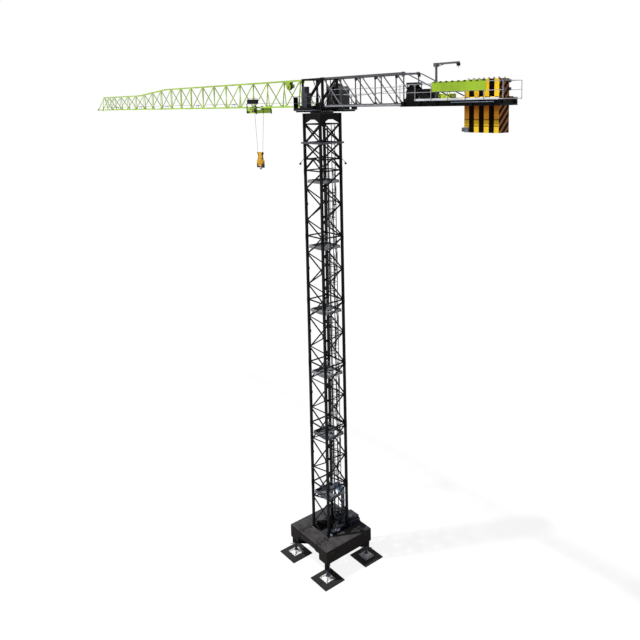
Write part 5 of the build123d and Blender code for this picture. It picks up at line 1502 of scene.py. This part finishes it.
@dataclass
class CounterJib(Assembly):
    """Post gussets, cross bars, hand lines, ducts and tie lugs of the counter-jib."""

    half: float = 0.36
    front: float = -0.5603
    bay: float = 1.068
    bays: int = 4

    def posts(self) -> list[float]:
        """Places of the posts along the counter-jib."""
        return [self.front - self.bay * (i + 1) + 0.03 for i in range(self.bays)]

    def build(self) -> None:
        """Makes all pieces of the counter-jib."""
        plate = block("gusset", (-0.07, 0.0175, -0.06), (0.07, 0.026, 0.06))
        taper(plate, "+z", (0.45, 1, 1))
        moves = []
        for x in self.posts():
            for side in SIDES:
                moves.append(shift(x, side * self.half, LEVELS.chord + 0.06) @ spun(0 if side > 0 else 180))
                moves.append(shift(
                    x, side * self.half, LEVELS.chord_top - 0.06) @ spun(180, "X") @ spun(180 if side > 0 else 0))
        self.add(copies(plate, moves, "post_gussets"), "counter_jib_steel")
        cross = []
        for x in self.posts():
            for z in (LEVELS.chord, LEVELS.chord_top):
                cross.append(rod("cross", "y", (x, z), -self.half + 0.03, self.half - 0.03, 0.036, 0.004))
        self.add(join("counter_jib_crosses", cross), "counter_jib_steel")
        end = self.front - self.bay * self.bays
        lines = []
        for side in SIDES:
            for z in (0.42, 0.62):
                lines.append(rod(
                    "hand_line", "x", (side * 0.31, LEVELS.chord + z), self.front, end, 0.012, 0.002, sides=6))
        self.add(join("hand_lines", lines), "railing_steel")
        boards = [
            panelled(
                "edge", (end + 0.06, side * 0.156 - 0.005, LEVELS.chord + 0.018),
                (self.front - 0.06, side * 0.156 + 0.005, LEVELS.chord + 0.07), "y", 0.01, 0.002)
            for side in SIDES]
        self.add(join("walk_edges", boards), "platform_mesh")
        trays = []
        for side in SIDES:
            trays.append(panelled(
                "duct",
                *on_side(
                    side, (end + 0.12, self.half + 0.036, LEVELS.chord - 0.012),
                    (self.front - 0.12, self.half + 0.056, LEVELS.chord + 0.036)),
                "y", 0.008, -0.003))
        self.add(join("chord_ducts", trays), "duct_steel")
        lug = panelled("tie_lug", (-0.05, -0.022, -0.05), (0.05, 0.022, 0.05), "y", 0.012, 0.004)
        ends = ((end + 0.06, LEVELS.chord_top), (-7.055, LEVELS.deck + 0.03))
        self.add(
            copies(lug, [shift(x, side * self.half, z) for x, z in ends for side in SIDES], "tie_lugs"),
            "counter_jib_steel")
        pins = turned("pin", Lie.Y, (0, 0, 0), [(-0.042, 0.014), (-0.038, 0.018), (0.038, 0.018), (0.042, 0.014)], 14)
        self.add(
            copies(pins, [shift(x, side * self.half, z) for x, z in ends for side in SIDES], "tie_pins"), "pin_steel")


@dataclass
class Deck(Assembly):
    """Winch, signboard frame, guard box, slab fittings and rails of the rear deck."""

    drum_x: float = -4.935
    drum_z: float = 18.961
    drum_radius: float = 0.15
    sign_y: float = 0.4643
    sign_ends: tuple[float, float] = (-6.13, -8.19)
    sign_rise: float = 0.29
    sign_tall: float = 0.285
    bay_front: float = -7.235
    slab_pitch: float = 0.183
    back: float = -8.65
    rail_end: float = -8.788
    rail_top: float = 0.542
    rail_y: float = 0.449
    davit_head: Triple = (-6.13, 0.262, 19.71)

    def build(self) -> None:
        """Makes all pieces of the deck."""
        self.windings()
        self.winch()
        self.guard_box()
        self.sign_frame()
        self.slabs()
        self.rails()
        self.davit()

    def windings(self) -> None:
        """Rope turns, flange ribs and hub bolts of the hoist drum."""
        turns = [
            hoop("turn", Lie.Y, (self.drum_x, -0.122 + 0.0125 * i, self.drum_z), self.drum_radius + 0.005, 0.012, 32)
            for i in range(20)]
        self.add(join("drum_windings", turns), "rope_steel", Body.HOIST_DRUM)
        rib = block("rib", (0.06, -0.156, -0.008), (0.2, -0.15, 0.008), 0.002)
        ribs = copies(rib, [spun(45 * i, "Y") for i in range(8)], "ribs")
        bolts = [
            bolt("bolt", Lie.Y, (0.045 * math.cos(a), -0.152, 0.045 * math.sin(a)), 0.018)
            for a in (math.tau * i / 6 for i in range(6))]
        hub = join("hub", [ribs] + bolts)
        place = shift(self.drum_x, 0, self.drum_z)
        made = copies(hub, [place, place @ spun(180)], "drum_ribs")
        self.add(made, "winch_paint", Body.HOIST_DRUM)

    def winch(self) -> None:
        """Motor cover, gearbox, brake, bearing caps and pipes of the hoist winch."""
        skid = LEVELS.deck + 0.09
        parts = [
            panelled("cover", (-5.86, -0.2, skid + 0.085), (-5.24, 0.2, skid + 0.3), "y +z", 0.03, -0.006),
            panelled("gearbox", (-5.2, 0.17, skid), (-4.76, 0.215, skid + 0.26), "y", 0.03, 0.008),
            turned(
                "brake", Lie.Y, (-5.6, -0.29, skid + 0.15),
                [(0, 0.08), (0.01, 0.095), (0.05, 0.095), (0.055, 0.11), (0.07, 0.11)], 24)
        ]
        for i in range(9):
            parts.append(block(
                "fin", (-5.82 + 0.065 * i, -0.215, skid + 0.1), (-5.81 + 0.065 * i, 0.215, skid + 0.29), 0.002))
        parts.append(panelled(
            "hood", (self.drum_x - 0.2, -0.185, self.drum_z + 0.215), (self.drum_x + 0.19, 0.185, self.drum_z + 0.305),
            "y +z", 0.03, -0.006))
        for side in SIDES:
            for x in (-0.19, 0.165):
                parts.append(bar(
                    "hood_leg", (self.drum_x + x, side * 0.215, skid),
                    (self.drum_x + x * 0.8, side * 0.175, self.drum_z + 0.23), 0.03, 8, 0.003))
            parts.append(turned(
                "bearing", Lie.Y, (self.drum_x, side * 0.19 - 0.012, self.drum_z),
                [(0, 0.05), (0.004, 0.06), (0.02, 0.06), (0.024, 0.05)], 20))
        self.add(join("winch_cover", parts), "winch_paint")
        pipes = [rod("pipe", "z", (-5.3, 0.1 + 0.03 * i), skid + 0.31, skid + 0.05, 0.012, 0.002) for i in range(3)]
        pipes += [bolt("bolt", Lie.Z, (x, y, skid + 0.008), 0.03) for x in (-5.83, -5.35, -4.76) for y in (-0.21, 0.21)]
        self.add(join("winch_pipes", pipes), "bolt_zinc")

    def guard_box(self) -> None:
        """Lid, doors, hinges and latches of the bright box on the deck."""
        low, high = LEVELS.deck, LEVELS.deck + 0.2
        lid = panelled("lid", (-6.6, -0.16, high - 0.012), (-6.12, 0.16, high + 0.012), "+z", 0.03, 0.006)
        doors = [panelled("door", (-6.57, 0.149, low + 0.02), (-6.37, 0.158, high - 0.03), "+y", 0.015, -0.003),
                 panelled("door", (-6.35, 0.149, low + 0.02), (-6.15, 0.158, high - 0.03), "+y", 0.015, -0.003)]
        self.add(join("guard_box_lid", [lid] + doors), "lime_box")
        trims = [rod("hinge", "x", (-0.165, high), x, x + 0.06, 0.016) for x in (-6.52, -6.28)]
        trims += [rod("latch", "z", (x, 0.166), low + 0.11, low + 0.15, 0.014, 0.002) for x in (-6.39, -6.17)]
        self.add(join("guard_box_latches", trims), "bolt_zinc")

    def sign_frame(self) -> None:
        """Edge frame, brackets and clips of the plain signboard."""
        front, back = self.sign_ends
        low, high = LEVELS.deck + self.sign_rise, LEVELS.deck + self.sign_rise + self.sign_tall
        y = self.sign_y + 0.003
        parts = []
        for z in (low, high):
            parts.append(rod("edge", "x", (y, z), back, front, 0.022, 0.003, sides=6))
        for x in (back, front):
            parts.append(rod("edge", "z", (x, y), low, high, 0.022, 0.003, sides=6))
        for i in range(5):
            x = back + 0.12 + 0.455 * i
            parts.append(panelled(
                "bracket", (x - 0.015, 0.44, low + 0.02), (x + 0.015, 0.458, high - 0.02), "x", 0.004, 0.002))
        self.add(join("sign_frame", parts), "sign_green")
        clips = [
            panelled(
                "clip", (back + 0.02 + 0.235 * i, self.sign_y - 0.02, high - 0.012),
                (back + 0.10 + 0.235 * i, self.sign_y + 0.018, high + 0.022), "+z", 0.008, 0.004)
            for i in range(9)]
        self.add(join("sign_clips", clips), "winch_paint")

    def slabs(self) -> None:
        """Lifting loops, edge clamps, rear lugs and tie rods of the counterweight slabs."""
        loop = hoop("loop", Lie.X, (0, 0, 19.268), 0.034, 0.014, 16)
        moves = [shift(self.bay_front - self.slab_pitch * i - 0.089, side * 0.14) for i in range(7) for side in SIDES]
        self.add(copies(loop, moves, "slab_loops"), "jack_steel")
        face = 0.2285
        parts = [
            panelled(
                "clamp", (self.bay_front - 0.175, face, 17.68), (self.bay_front - 0.01, face + 0.035, 17.83), "+y",
                0.02, -0.008),
            panelled(
                "clamp", (self.bay_front + 0.001, face - 0.14, 17.69), (self.bay_front + 0.085, face + 0.02, 17.82),
                "round", 0.018, -0.006),
            rod("clamp_pin", "y", (self.bay_front + 0.045, 17.755), face - 0.16, face + 0.05, 0.04, 0.006, sides=12)]
        self.add(copies(parts, [Matrix.Identity(4), Matrix.Scale(-1, 4, (0, 1, 0))], "slab_clamps"), "clamp_steel")
        lug = panelled("lug", (-8.62, 0.115, -0.045), (-8.515, 0.185, 0.045), "y", 0.014, -0.005)
        moves = [shift(0, y, z) for y in (-0.3, 0.0) for z in (18.95, 19.18)]
        self.add(copies(lug, moves, "slab_rear_lugs"), "jack_steel")
        ties = [rod("tie_rod", "x", (side * 0.15, 18.9), -8.53, -7.22, 0.022, 0.003) for side in SIDES]
        ties += [bolt("nut", Lie.X, (x, side * 0.15, 18.9), 0.05) for x in (-8.528, -7.222) for side in SIDES]
        self.add(join("slab_tie_rods", ties), "jack_steel")

    def rails(self) -> None:
        """Rear rail, toe boards, end plate and beam ribs of the deck, and light rods along the beams that paint a
        highlight on their flanges.
        """
        z = LEVELS.deck
        parts = []
        end = self.rail_end
        parts.append(rod("rail", "y", (end, z + self.rail_top), -self.rail_y, self.rail_y, 0.018, 0.003))
        for side in SIDES:
            parts.append(rod("outrigger", "x", (side * self.rail_y, z + 0.02), self.back + 0.01, end, 0.022, 0.003))
        parts.append(rod("outrigger", "y", (end, z + 0.02), -self.rail_y, self.rail_y, 0.022, 0.003))
        self.add(join("deck_end_rails", parts), "railing_steel")
        boards = [
            panelled(
                "board", (self.back, side * 0.449 - 0.016, z + 0.002), (-5.35, side * 0.449 - 0.01, z + 0.068), "y",
                0.01, 0.001)
            for side in SIDES]
        self.add(join("deck_toe_boards", boards), "toe_board")
        plates = [panelled(
            "end_plate", (self.back - 0.012, -0.44, z - 0.16), (self.back, 0.44, z - 0.02), "-x", 0.02, -0.004)]
        for side in SIDES:
            plates.append(block(
                "lug", (self.back - 0.06, side * 0.3 - 0.02, z - 0.12), (self.back - 0.01, side * 0.3 + 0.02, z + 0.03),
                0.006))
        self.add(join("deck_end_plates", plates), "head_steel")
        web = block("web_rib", (-0.006, 0.0, -0.07), (0.006, 0.045, 0.07), 0.002)
        moves = []
        for i in range(6):
            x = -4.9 - 0.7 * i
            moves += [shift(x, 0.418, z - 0.0875), shift(x, -0.463, z - 0.0875)]
        self.add(copies(web, moves, "beam_ribs"), "head_steel")
        # Light rods low on the outer faces of the deck beams: a painted highlight along the beams' lower flanges.
        pipes = [rod("highlight_rod", "x", (side * 0.47, z - 0.06), -8.5, -6.9, 0.024, 0.003) for side in SIDES]
        self.add(join("beam_highlight_rods", pipes), "clamp_steel")

    def davit(self) -> None:
        """Foot plate, brace, end stop and hoist of the service davit."""
        x, y, z = self.davit_head
        foot = [panelled(
            "foot", (x - 0.09, y - 0.09, LEVELS.deck), (x + 0.09, y + 0.09, LEVELS.deck + 0.014), "+z", 0.02, 0.003)]
        foot += [
            bolt("bolt", Lie.Z, (x + a * 0.065, y + b * 0.065, LEVELS.deck + 0.02), 0.024) for a in SIDES for b in SIDES
        ]
        self.add(join("davit_foot", foot), "davit_steel")
        arm = [bar("brace", (x - 0.06, y, z + 0.015), (x - 0.3, y, z + 0.062), 0.022, 8, 0.003),
               block("end_stop", (x - 0.84, y - 0.04, z + 0.05), (x - 0.80, y + 0.04, z + 0.12), 0.006)]
        self.add(join("davit_fittings", arm), "davit_steel", Body.DAVIT)
        hoist = [
            panelled("trolley", (x - 0.935, y - 0.04, z - 0.015), (x - 0.845, y + 0.04, z + 0.075), "y", 0.01, 0.004),
            hoop("hook_eye", Lie.Y, (x - 0.89, y, z - 0.04), 0.02, 0.012, 16)]
        self.add(join("davit_hoist", hoist), "winch_paint", Body.DAVIT)


@dataclass
class Jib(Assembly):
    """Section joints, node plates, rope gear and end fittings of the jib."""

    joints: tuple[float, ...] = (3.1, 6.6, 10.1, 13.6, 17.1, 20.6)
    half: float = 0.325
    tall: float = 1.05
    low_tall: float = 0.79
    tip: float = 23.0758
    root: float = 0.7503
    winch_x: float = 2.1
    winch_z: float = 19.3767
    run_rise: float = 0.165

    def top_at(self, x: float) -> float:
        """Height of the top chord's middle line at a place along the jib."""
        start, end = self.joints[3:5]
        part = min(max((x - start) / (end - start), 0.0), 1.0)
        return LEVELS.chord + self.tall + (self.low_tall - self.tall) * part

    def build(self) -> None:
        """Makes all pieces of the jib."""
        self.joint_lugs()
        self.node_plates()
        self.winch()
        self.tip_gear()
        self.rope_guides()

    def joint_lugs(self) -> None:
        """Lugs and pins where the sections meet."""
        side = [panelled("lug", (-0.1, 0.031, -0.035), (0.1, 0.041, 0.035), "+y", 0.01, 0.003),
                panelled("lug", (-0.1, -0.041, -0.035), (0.1, -0.031, 0.035), "-y", 0.01, 0.003)]
        proto = join("joint_lugs", side)
        low = [shift(x, y, LEVELS.chord + 0.01) for x in self.joints for y in (-self.half, self.half)]
        top = [shift(x, 0, self.top_at(x)) @ Matrix.Scale(1.16, 4, (0, 1, 0)) for x in self.joints]
        self.add(copies(proto, low + top, "jib_joint_lugs"), "jib_steel")
        pin = turned("pin", Lie.Y, (0, 0, 0), [(-0.052, 0.011), (-0.048, 0.015), (0.048, 0.015), (0.052, 0.011)], 12)
        pair = copies(pin, [shift(-0.055), shift(0.055)], "pins")
        self.add(copies(pair, low + [shift(x, 0, self.top_at(x)) for x in self.joints], "jib_joint_pins"), "pin_steel")

    def node_plates(self) -> None:
        """Small gussets at the feet and heads of the lacing."""
        foot = block("foot", (-0.055, 0.0, -0.02), (0.055, 0.006, 0.05), 0.002)
        taper(foot, "+z", (0.4, 1, 1))
        moves = []
        spans = [(self.root, self.joints[0], 4)] + [(*ends, 6) for ends in zip(self.joints, self.joints[1:])]
        for start, end, count in spans:
            for i in range(0, count + 1, 2):
                x = start + 0.06 + (end - start - 0.12) * i / count
                moves += [shift(x, side * (self.half - 0.003), LEVELS.chord + 0.04) for side in SIDES]
        self.add(copies(foot, moves, "lacing_feet"), "jib_steel")

    def winch(self) -> None:
        """Windings, motor and gearbox of the trolley winch."""
        x, z = self.winch_x, self.winch_z
        turns = [hoop("turn", Lie.Y, (x, -0.05 + 0.011 * i, z), 0.152, 0.008, 28) for i in range(10)]
        self.add(join("trolley_windings", turns), "rope_steel", Body.TROLLEY_DRUM)
        parts = [
            turned(
                "motor", Lie.Y, (x + 0.02, 0.1, z - 0.02),
                [(0, 0.055), (0.01, 0.062), (0.02, 0.062), (0.02, 0.054), (0.12, 0.054), (0.12, 0.06), (0.15, 0.05)], 20
            ),
            panelled("gearbox", (x - 0.09, -0.19, z - 0.08), (x + 0.09, -0.1, z + 0.08), "y", 0.02, 0.006)]
        self.add(join("trolley_winch_motor", parts), "sign_green")

    def tip_gear(self) -> None:
        """Buffers, return sheave, rope anchor and top cap at the tip."""
        top = LEVELS.chord + self.low_tall
        stop = [
            block(
                "buffer", (self.tip - 0.2, side * 0.385 - 0.012, LEVELS.chord - 0.02),
                (self.tip - 0.14, side * 0.385 + 0.012, LEVELS.chord + 0.07), 0.008)
            for side in SIDES]
        self.add(join("rail_buffers", stop), "black_rubber")
        x = self.tip - 0.3
        sheave = turned(
            "return_sheave", Lie.Y, (x, 0.12, LEVELS.chord - 0.005),
            [(-0.018, 0.03), (-0.018, 0.07), (-0.008, 0.058), (0.008, 0.058), (0.018, 0.07), (0.018, 0.03)], 28)
        self.add(sheave, "wheel_steel")
        hanger = [
            block(
                "hanger", (x - 0.02, 0.12 + side * 0.026 - 0.004, LEVELS.chord - 0.03),
                (x + 0.25, 0.12 + side * 0.026 + 0.004, LEVELS.chord + 0.025), 0.002)
            for side in SIDES]
        eye = [hoop("anchor_eye", Lie.X, (self.tip - 0.112, 0, LEVELS.chord + self.run_rise), 0.022, 0.01, 16),
               panelled("top_cap", (22.74, -0.04, top - 0.04), (22.757, 0.04, top + 0.04), "+x", 0.01, 0.004)]
        self.add(join("tip_fittings", hanger + eye), "jib_steel")

    def rope_guides(self) -> None:
        """Rollers that carry the hoist rope over the cross lacing."""
        roller = turned("roller", Lie.Y, (0, 0, 0), [(-0.05, 0.02), (-0.03, 0.013), (0.03, 0.013), (0.05, 0.02)], 14)
        axle = rod("axle", "y", (0, 0), -0.075, 0.075, 0.012, 0.001)
        legs = [
            block("leg", (-0.012, side * 0.072 - 0.004, -0.165), (0.012, side * 0.072 + 0.004, 0.016), 0.002)
            for side in SIDES]
        foot = block("foot", (-0.02, -0.08, -0.172), (0.02, 0.08, -0.16), 0.002)
        z = LEVELS.chord + self.run_rise - 0.0205
        moves = [shift(x, 0, z) for x in self.joints[1:]]
        self.add(copies([roller, axle] + legs + [foot], moves, "rope_rollers"), "pin_steel")


@dataclass
class Trolley(Assembly):
    """Sheave rims, bolts, cage mesh, side plates and bumpers of the trolley."""

    body: Body = Body.TROLLEY
    x: float = 4.45
    sheave_z: float = 18.424
    plate_y: float = 0.402

    def build(self) -> None:
        """Makes all pieces of the trolley."""
        rims = [
            hoop("rim", Lie.Y, (self.x + side * 0.181, y, self.sheave_z), 0.0835, 0.008, 28) for side in SIDES
            for y in (-0.013, 0.013)]
        self.add(join("trolley_rims", rims), "wheel_steel")
        bolts = [
            bolt("bolt", Lie.Y, (self.x + a * b, side * self.plate_y, self.sheave_z), 0.03) for a in SIDES
            for b in (0.13, 0.31) for side in SIDES]
        self.add(join("trolley_bolts", bolts), "bolt_zinc")
        bars = []
        low, high = 18.668, 18.868
        for i in range(9):
            x = 3.885 + 0.0875 * i
            bars.append(rod("mesh", "z", (x, 0.513), low, high + 0.05, 0.008, 0.001, sides=6))
        for z in (high, high + 0.05):
            bars.append(rod("mesh", "x", (0.513, z), 3.875, 4.6, 0.012, 0.001, sides=6))
        for x in (3.88, 4.595):
            bars.append(rod("mesh", "y", (x, high + 0.05), 0.513, 0.412, 0.012, 0.001, sides=6))
        self.add(join("cage_mesh", bars), "head_steel")
        dark = []
        for side in SIDES:
            for start, end, bottom, top in (
                (-0.37, -0.20, 18.325, 18.455), (-0.16, -0.06, 18.325, 18.40), (0.10, 0.37, 18.30, 18.37)):
                dark.append(panelled(
                    "plate",
                    *on_side(
                        side, (self.x + start, self.plate_y - 0.004, bottom), (self.x + end, self.plate_y + 0.016, top)
                    ),
                    "y", 0.014, -0.005))
            dark.append(panelled(
                "bumper", *on_side(side, (self.x - 0.408, 0.372, 18.24), (self.x - 0.379, 0.414, 18.45)), "-x", 0.008,
                0.004))
        self.add(join("trolley_plates", dark), "winch_paint")


@dataclass
class HookGear(Assembly):
    """Sheave rims, bolts, saddle and rope sleeves of the hook block, and the hook's nut and latch."""

    body: Body = Body.BLOCK
    x: float = 4.45
    top: float = 16.55

    def build(self) -> None:
        """Makes all pieces of the hook gear."""
        z = self.top - 0.095
        rims = [
            hoop("rim", Lie.Y, (self.x + side * 0.1135, y, z), 0.0735, 0.007, 24) for side in SIDES
            for y in (-0.013, 0.013)]
        self.add(join("block_rims", rims), "hook_steel")
        bolts = [
            bolt("bolt", Lie.Y, (self.x + a, side * 0.057, z + b), 0.032) for a,
            b in ((-0.12, 0.0), (0.12, 0.0), (-0.12, -0.19), (0.12, -0.19)) for side in SIDES]
        self.add(join("block_bolts", bolts), "pin_steel")
        weight = self.top - 0.325 - 0.19
        saddle = []
        for side in SIDES:
            saddle.append(panelled(
                "saddle",
                *on_side(side, (self.x - 0.13, 0.037, weight - 0.118), (self.x + 0.13, 0.055, weight + 0.002)), "y",
                0.014, -0.004))
        self.add(join("block_saddle", saddle), "hook_yellow")
        sleeves = []
        for side in SIDES:
            low, high = sorted((side * 0.150, side * 0.216))
            sleeves.append(panelled(
                "sleeve", (self.x + low, -0.034, self.top - 0.075), (self.x + high, 0.034, self.top - 0.005), "y", 0.01,
                -0.003))
        self.add(join("rope_sleeves", sleeves), "winch_paint")
        latch = bar("latch", (self.x + 0.03, 0, 15.905), (self.x + 0.062, 0, 15.82), 0.012, 8, 0.002)
        nut = turned("nut", Lie.Z, (self.x, 0, 15.99), [(0, 0.03), (0.004, 0.036), (0.03, 0.036), (0.034, 0.03)], 6)
        self.add(join("hook_latch", [latch, nut]), "pin_steel", Body.HOOK)


@dataclass
class Studio:
    """Floor, lamps, world and camera."""

    floor_level: float = -0.5
    floor_size: float = 600.0
    camera_place: Triple = (-20.437, 16.435, 18.637)
    forward: tuple[float, float] = (0.7826, -0.6226)
    pitch: float = 7.288
    roll: float = -1.24
    lens: float = 37.38
    sensor: float = 36.0
    shift_y: float = -0.2052

    def build(self) -> None:
        """Sets the whole stage."""
        self.floor()
        self.world()
        self.lamps()
        self.camera()

    def floor(self) -> None:
        """A wide pale floor that keeps the crane's shadow."""
        clear_selection()
        bpy.ops.mesh.primitive_plane_add(size=self.floor_size, location=(0, 0, self.floor_level))
        plane = settle(bpy.context.object, "studio_floor")
        made = bpy.data.materials.new("studio_floor")
        made.use_nodes = True
        tree = Tree(made.node_tree)
        shader = made.node_tree.nodes["Principled BSDF"]
        seen = self.seen_directly(tree)
        tree.feed(shader.inputs["Base Color"], tree.mix(seen, (0.42, 0.42, 0.42), (0.9, 0.9, 0.9)))
        shader.inputs["Roughness"].default_value = 0.9
        glow = tree.node("ShaderNodeEmission")
        glow.inputs["Color"].default_value = (1.0, 1.0, 1.0, 1.0)
        blend = tree.node("ShaderNodeMixShader")
        tree.feed(blend.inputs[0], tree.sum("MULTIPLY", seen, 0.9))
        tree.feed(blend.inputs[1], shader.outputs[0])
        tree.feed(blend.inputs[2], glow.outputs[0])
        tree.feed(made.node_tree.nodes["Material Output"].inputs["Surface"], blend.outputs[0])
        plane.data.materials.append(made)

    def seen_directly(self, tree: Tree) -> Socket:
        """One for rays from the camera, mirrors and glass, else zero."""
        path = tree.node("ShaderNodeLightPath")
        seen = tree.sum("ADD", path.outputs["Is Camera Ray"], path.outputs["Is Glossy Ray"], True)
        return tree.sum("ADD", seen, path.outputs["Is Transmission Ray"], True)

    def world(self) -> None:
        """A plain world, white where it is seen."""
        world = bpy.data.worlds.new("studio")
        bpy.context.scene.world = world
        world.use_nodes = True
        tree = Tree(world.node_tree)
        back = world.node_tree.nodes["Background"]
        seen = self.seen_directly(tree)
        tree.feed(back.inputs["Color"], tree.mix(seen, (0.80, 0.86, 1.0), (1.0, 1.0, 1.0)))
        tree.feed(back.inputs["Strength"], tree.span(seen, 0.0, 1.0, 0.15, 1.0))

    def lamps(self) -> None:
        """A high sun over the jib's left side, and a weak one from the camera's side."""
        for name, source, power, angle in (
            ("key", (0.20, 0.372, 0.907), 4.4, 2.0), ("fill", (-0.5, 0.8, 0.35), 0.2, 30.0)):
            data = bpy.data.lights.new(name, "SUN")
            data.energy = power
            data.angle = math.radians(angle)
            lamp = bpy.data.objects.new(name, data)
            lamp.rotation_euler = Vector(source).to_track_quat("Z", "Y").to_euler()
            bpy.context.collection.objects.link(lamp)

    def camera(self) -> None:
        """The photograph's viewpoint."""
        data = bpy.data.cameras.new("camera")
        data.lens = self.lens
        data.sensor_width = self.sensor
        data.shift_y = self.shift_y
        data.clip_end = 1000.0
        camera = bpy.data.objects.new("camera", data)
        bpy.context.collection.objects.link(camera)
        down = math.radians(self.pitch)
        way = Vector((self.forward[0] * math.cos(down), self.forward[1] * math.cos(down), -math.sin(down)))
        turn = way.to_track_quat("-Z", "Y").to_matrix().to_4x4()
        camera.matrix_world = Matrix.Translation(self.camera_place) @ turn @ Matrix.Rotation(
            math.radians(self.roll), 4, "Z")
        bpy.context.scene.camera = camera


def main() -> None:
    """Builds the crane's dress in order and reports each piece."""
    logging.basicConfig(level=logging.INFO, format="%(message)s")
    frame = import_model()
    bpy.context.scene.view_settings.view_transform = "Standard"
    shop = Paintshop()
    shop.dress_nodes(frame)
    for kind in (CrossBase, Mast, Head, Cab, Cabinets, CounterJib, Deck, Jib, Trolley, HookGear):
        assembly = kind(shop)
        assembly.build()
        log.info("%s: %d pieces", kind.__name__, len(assembly.made))
    Studio().build()


if __name__ == "__main__":
    main()
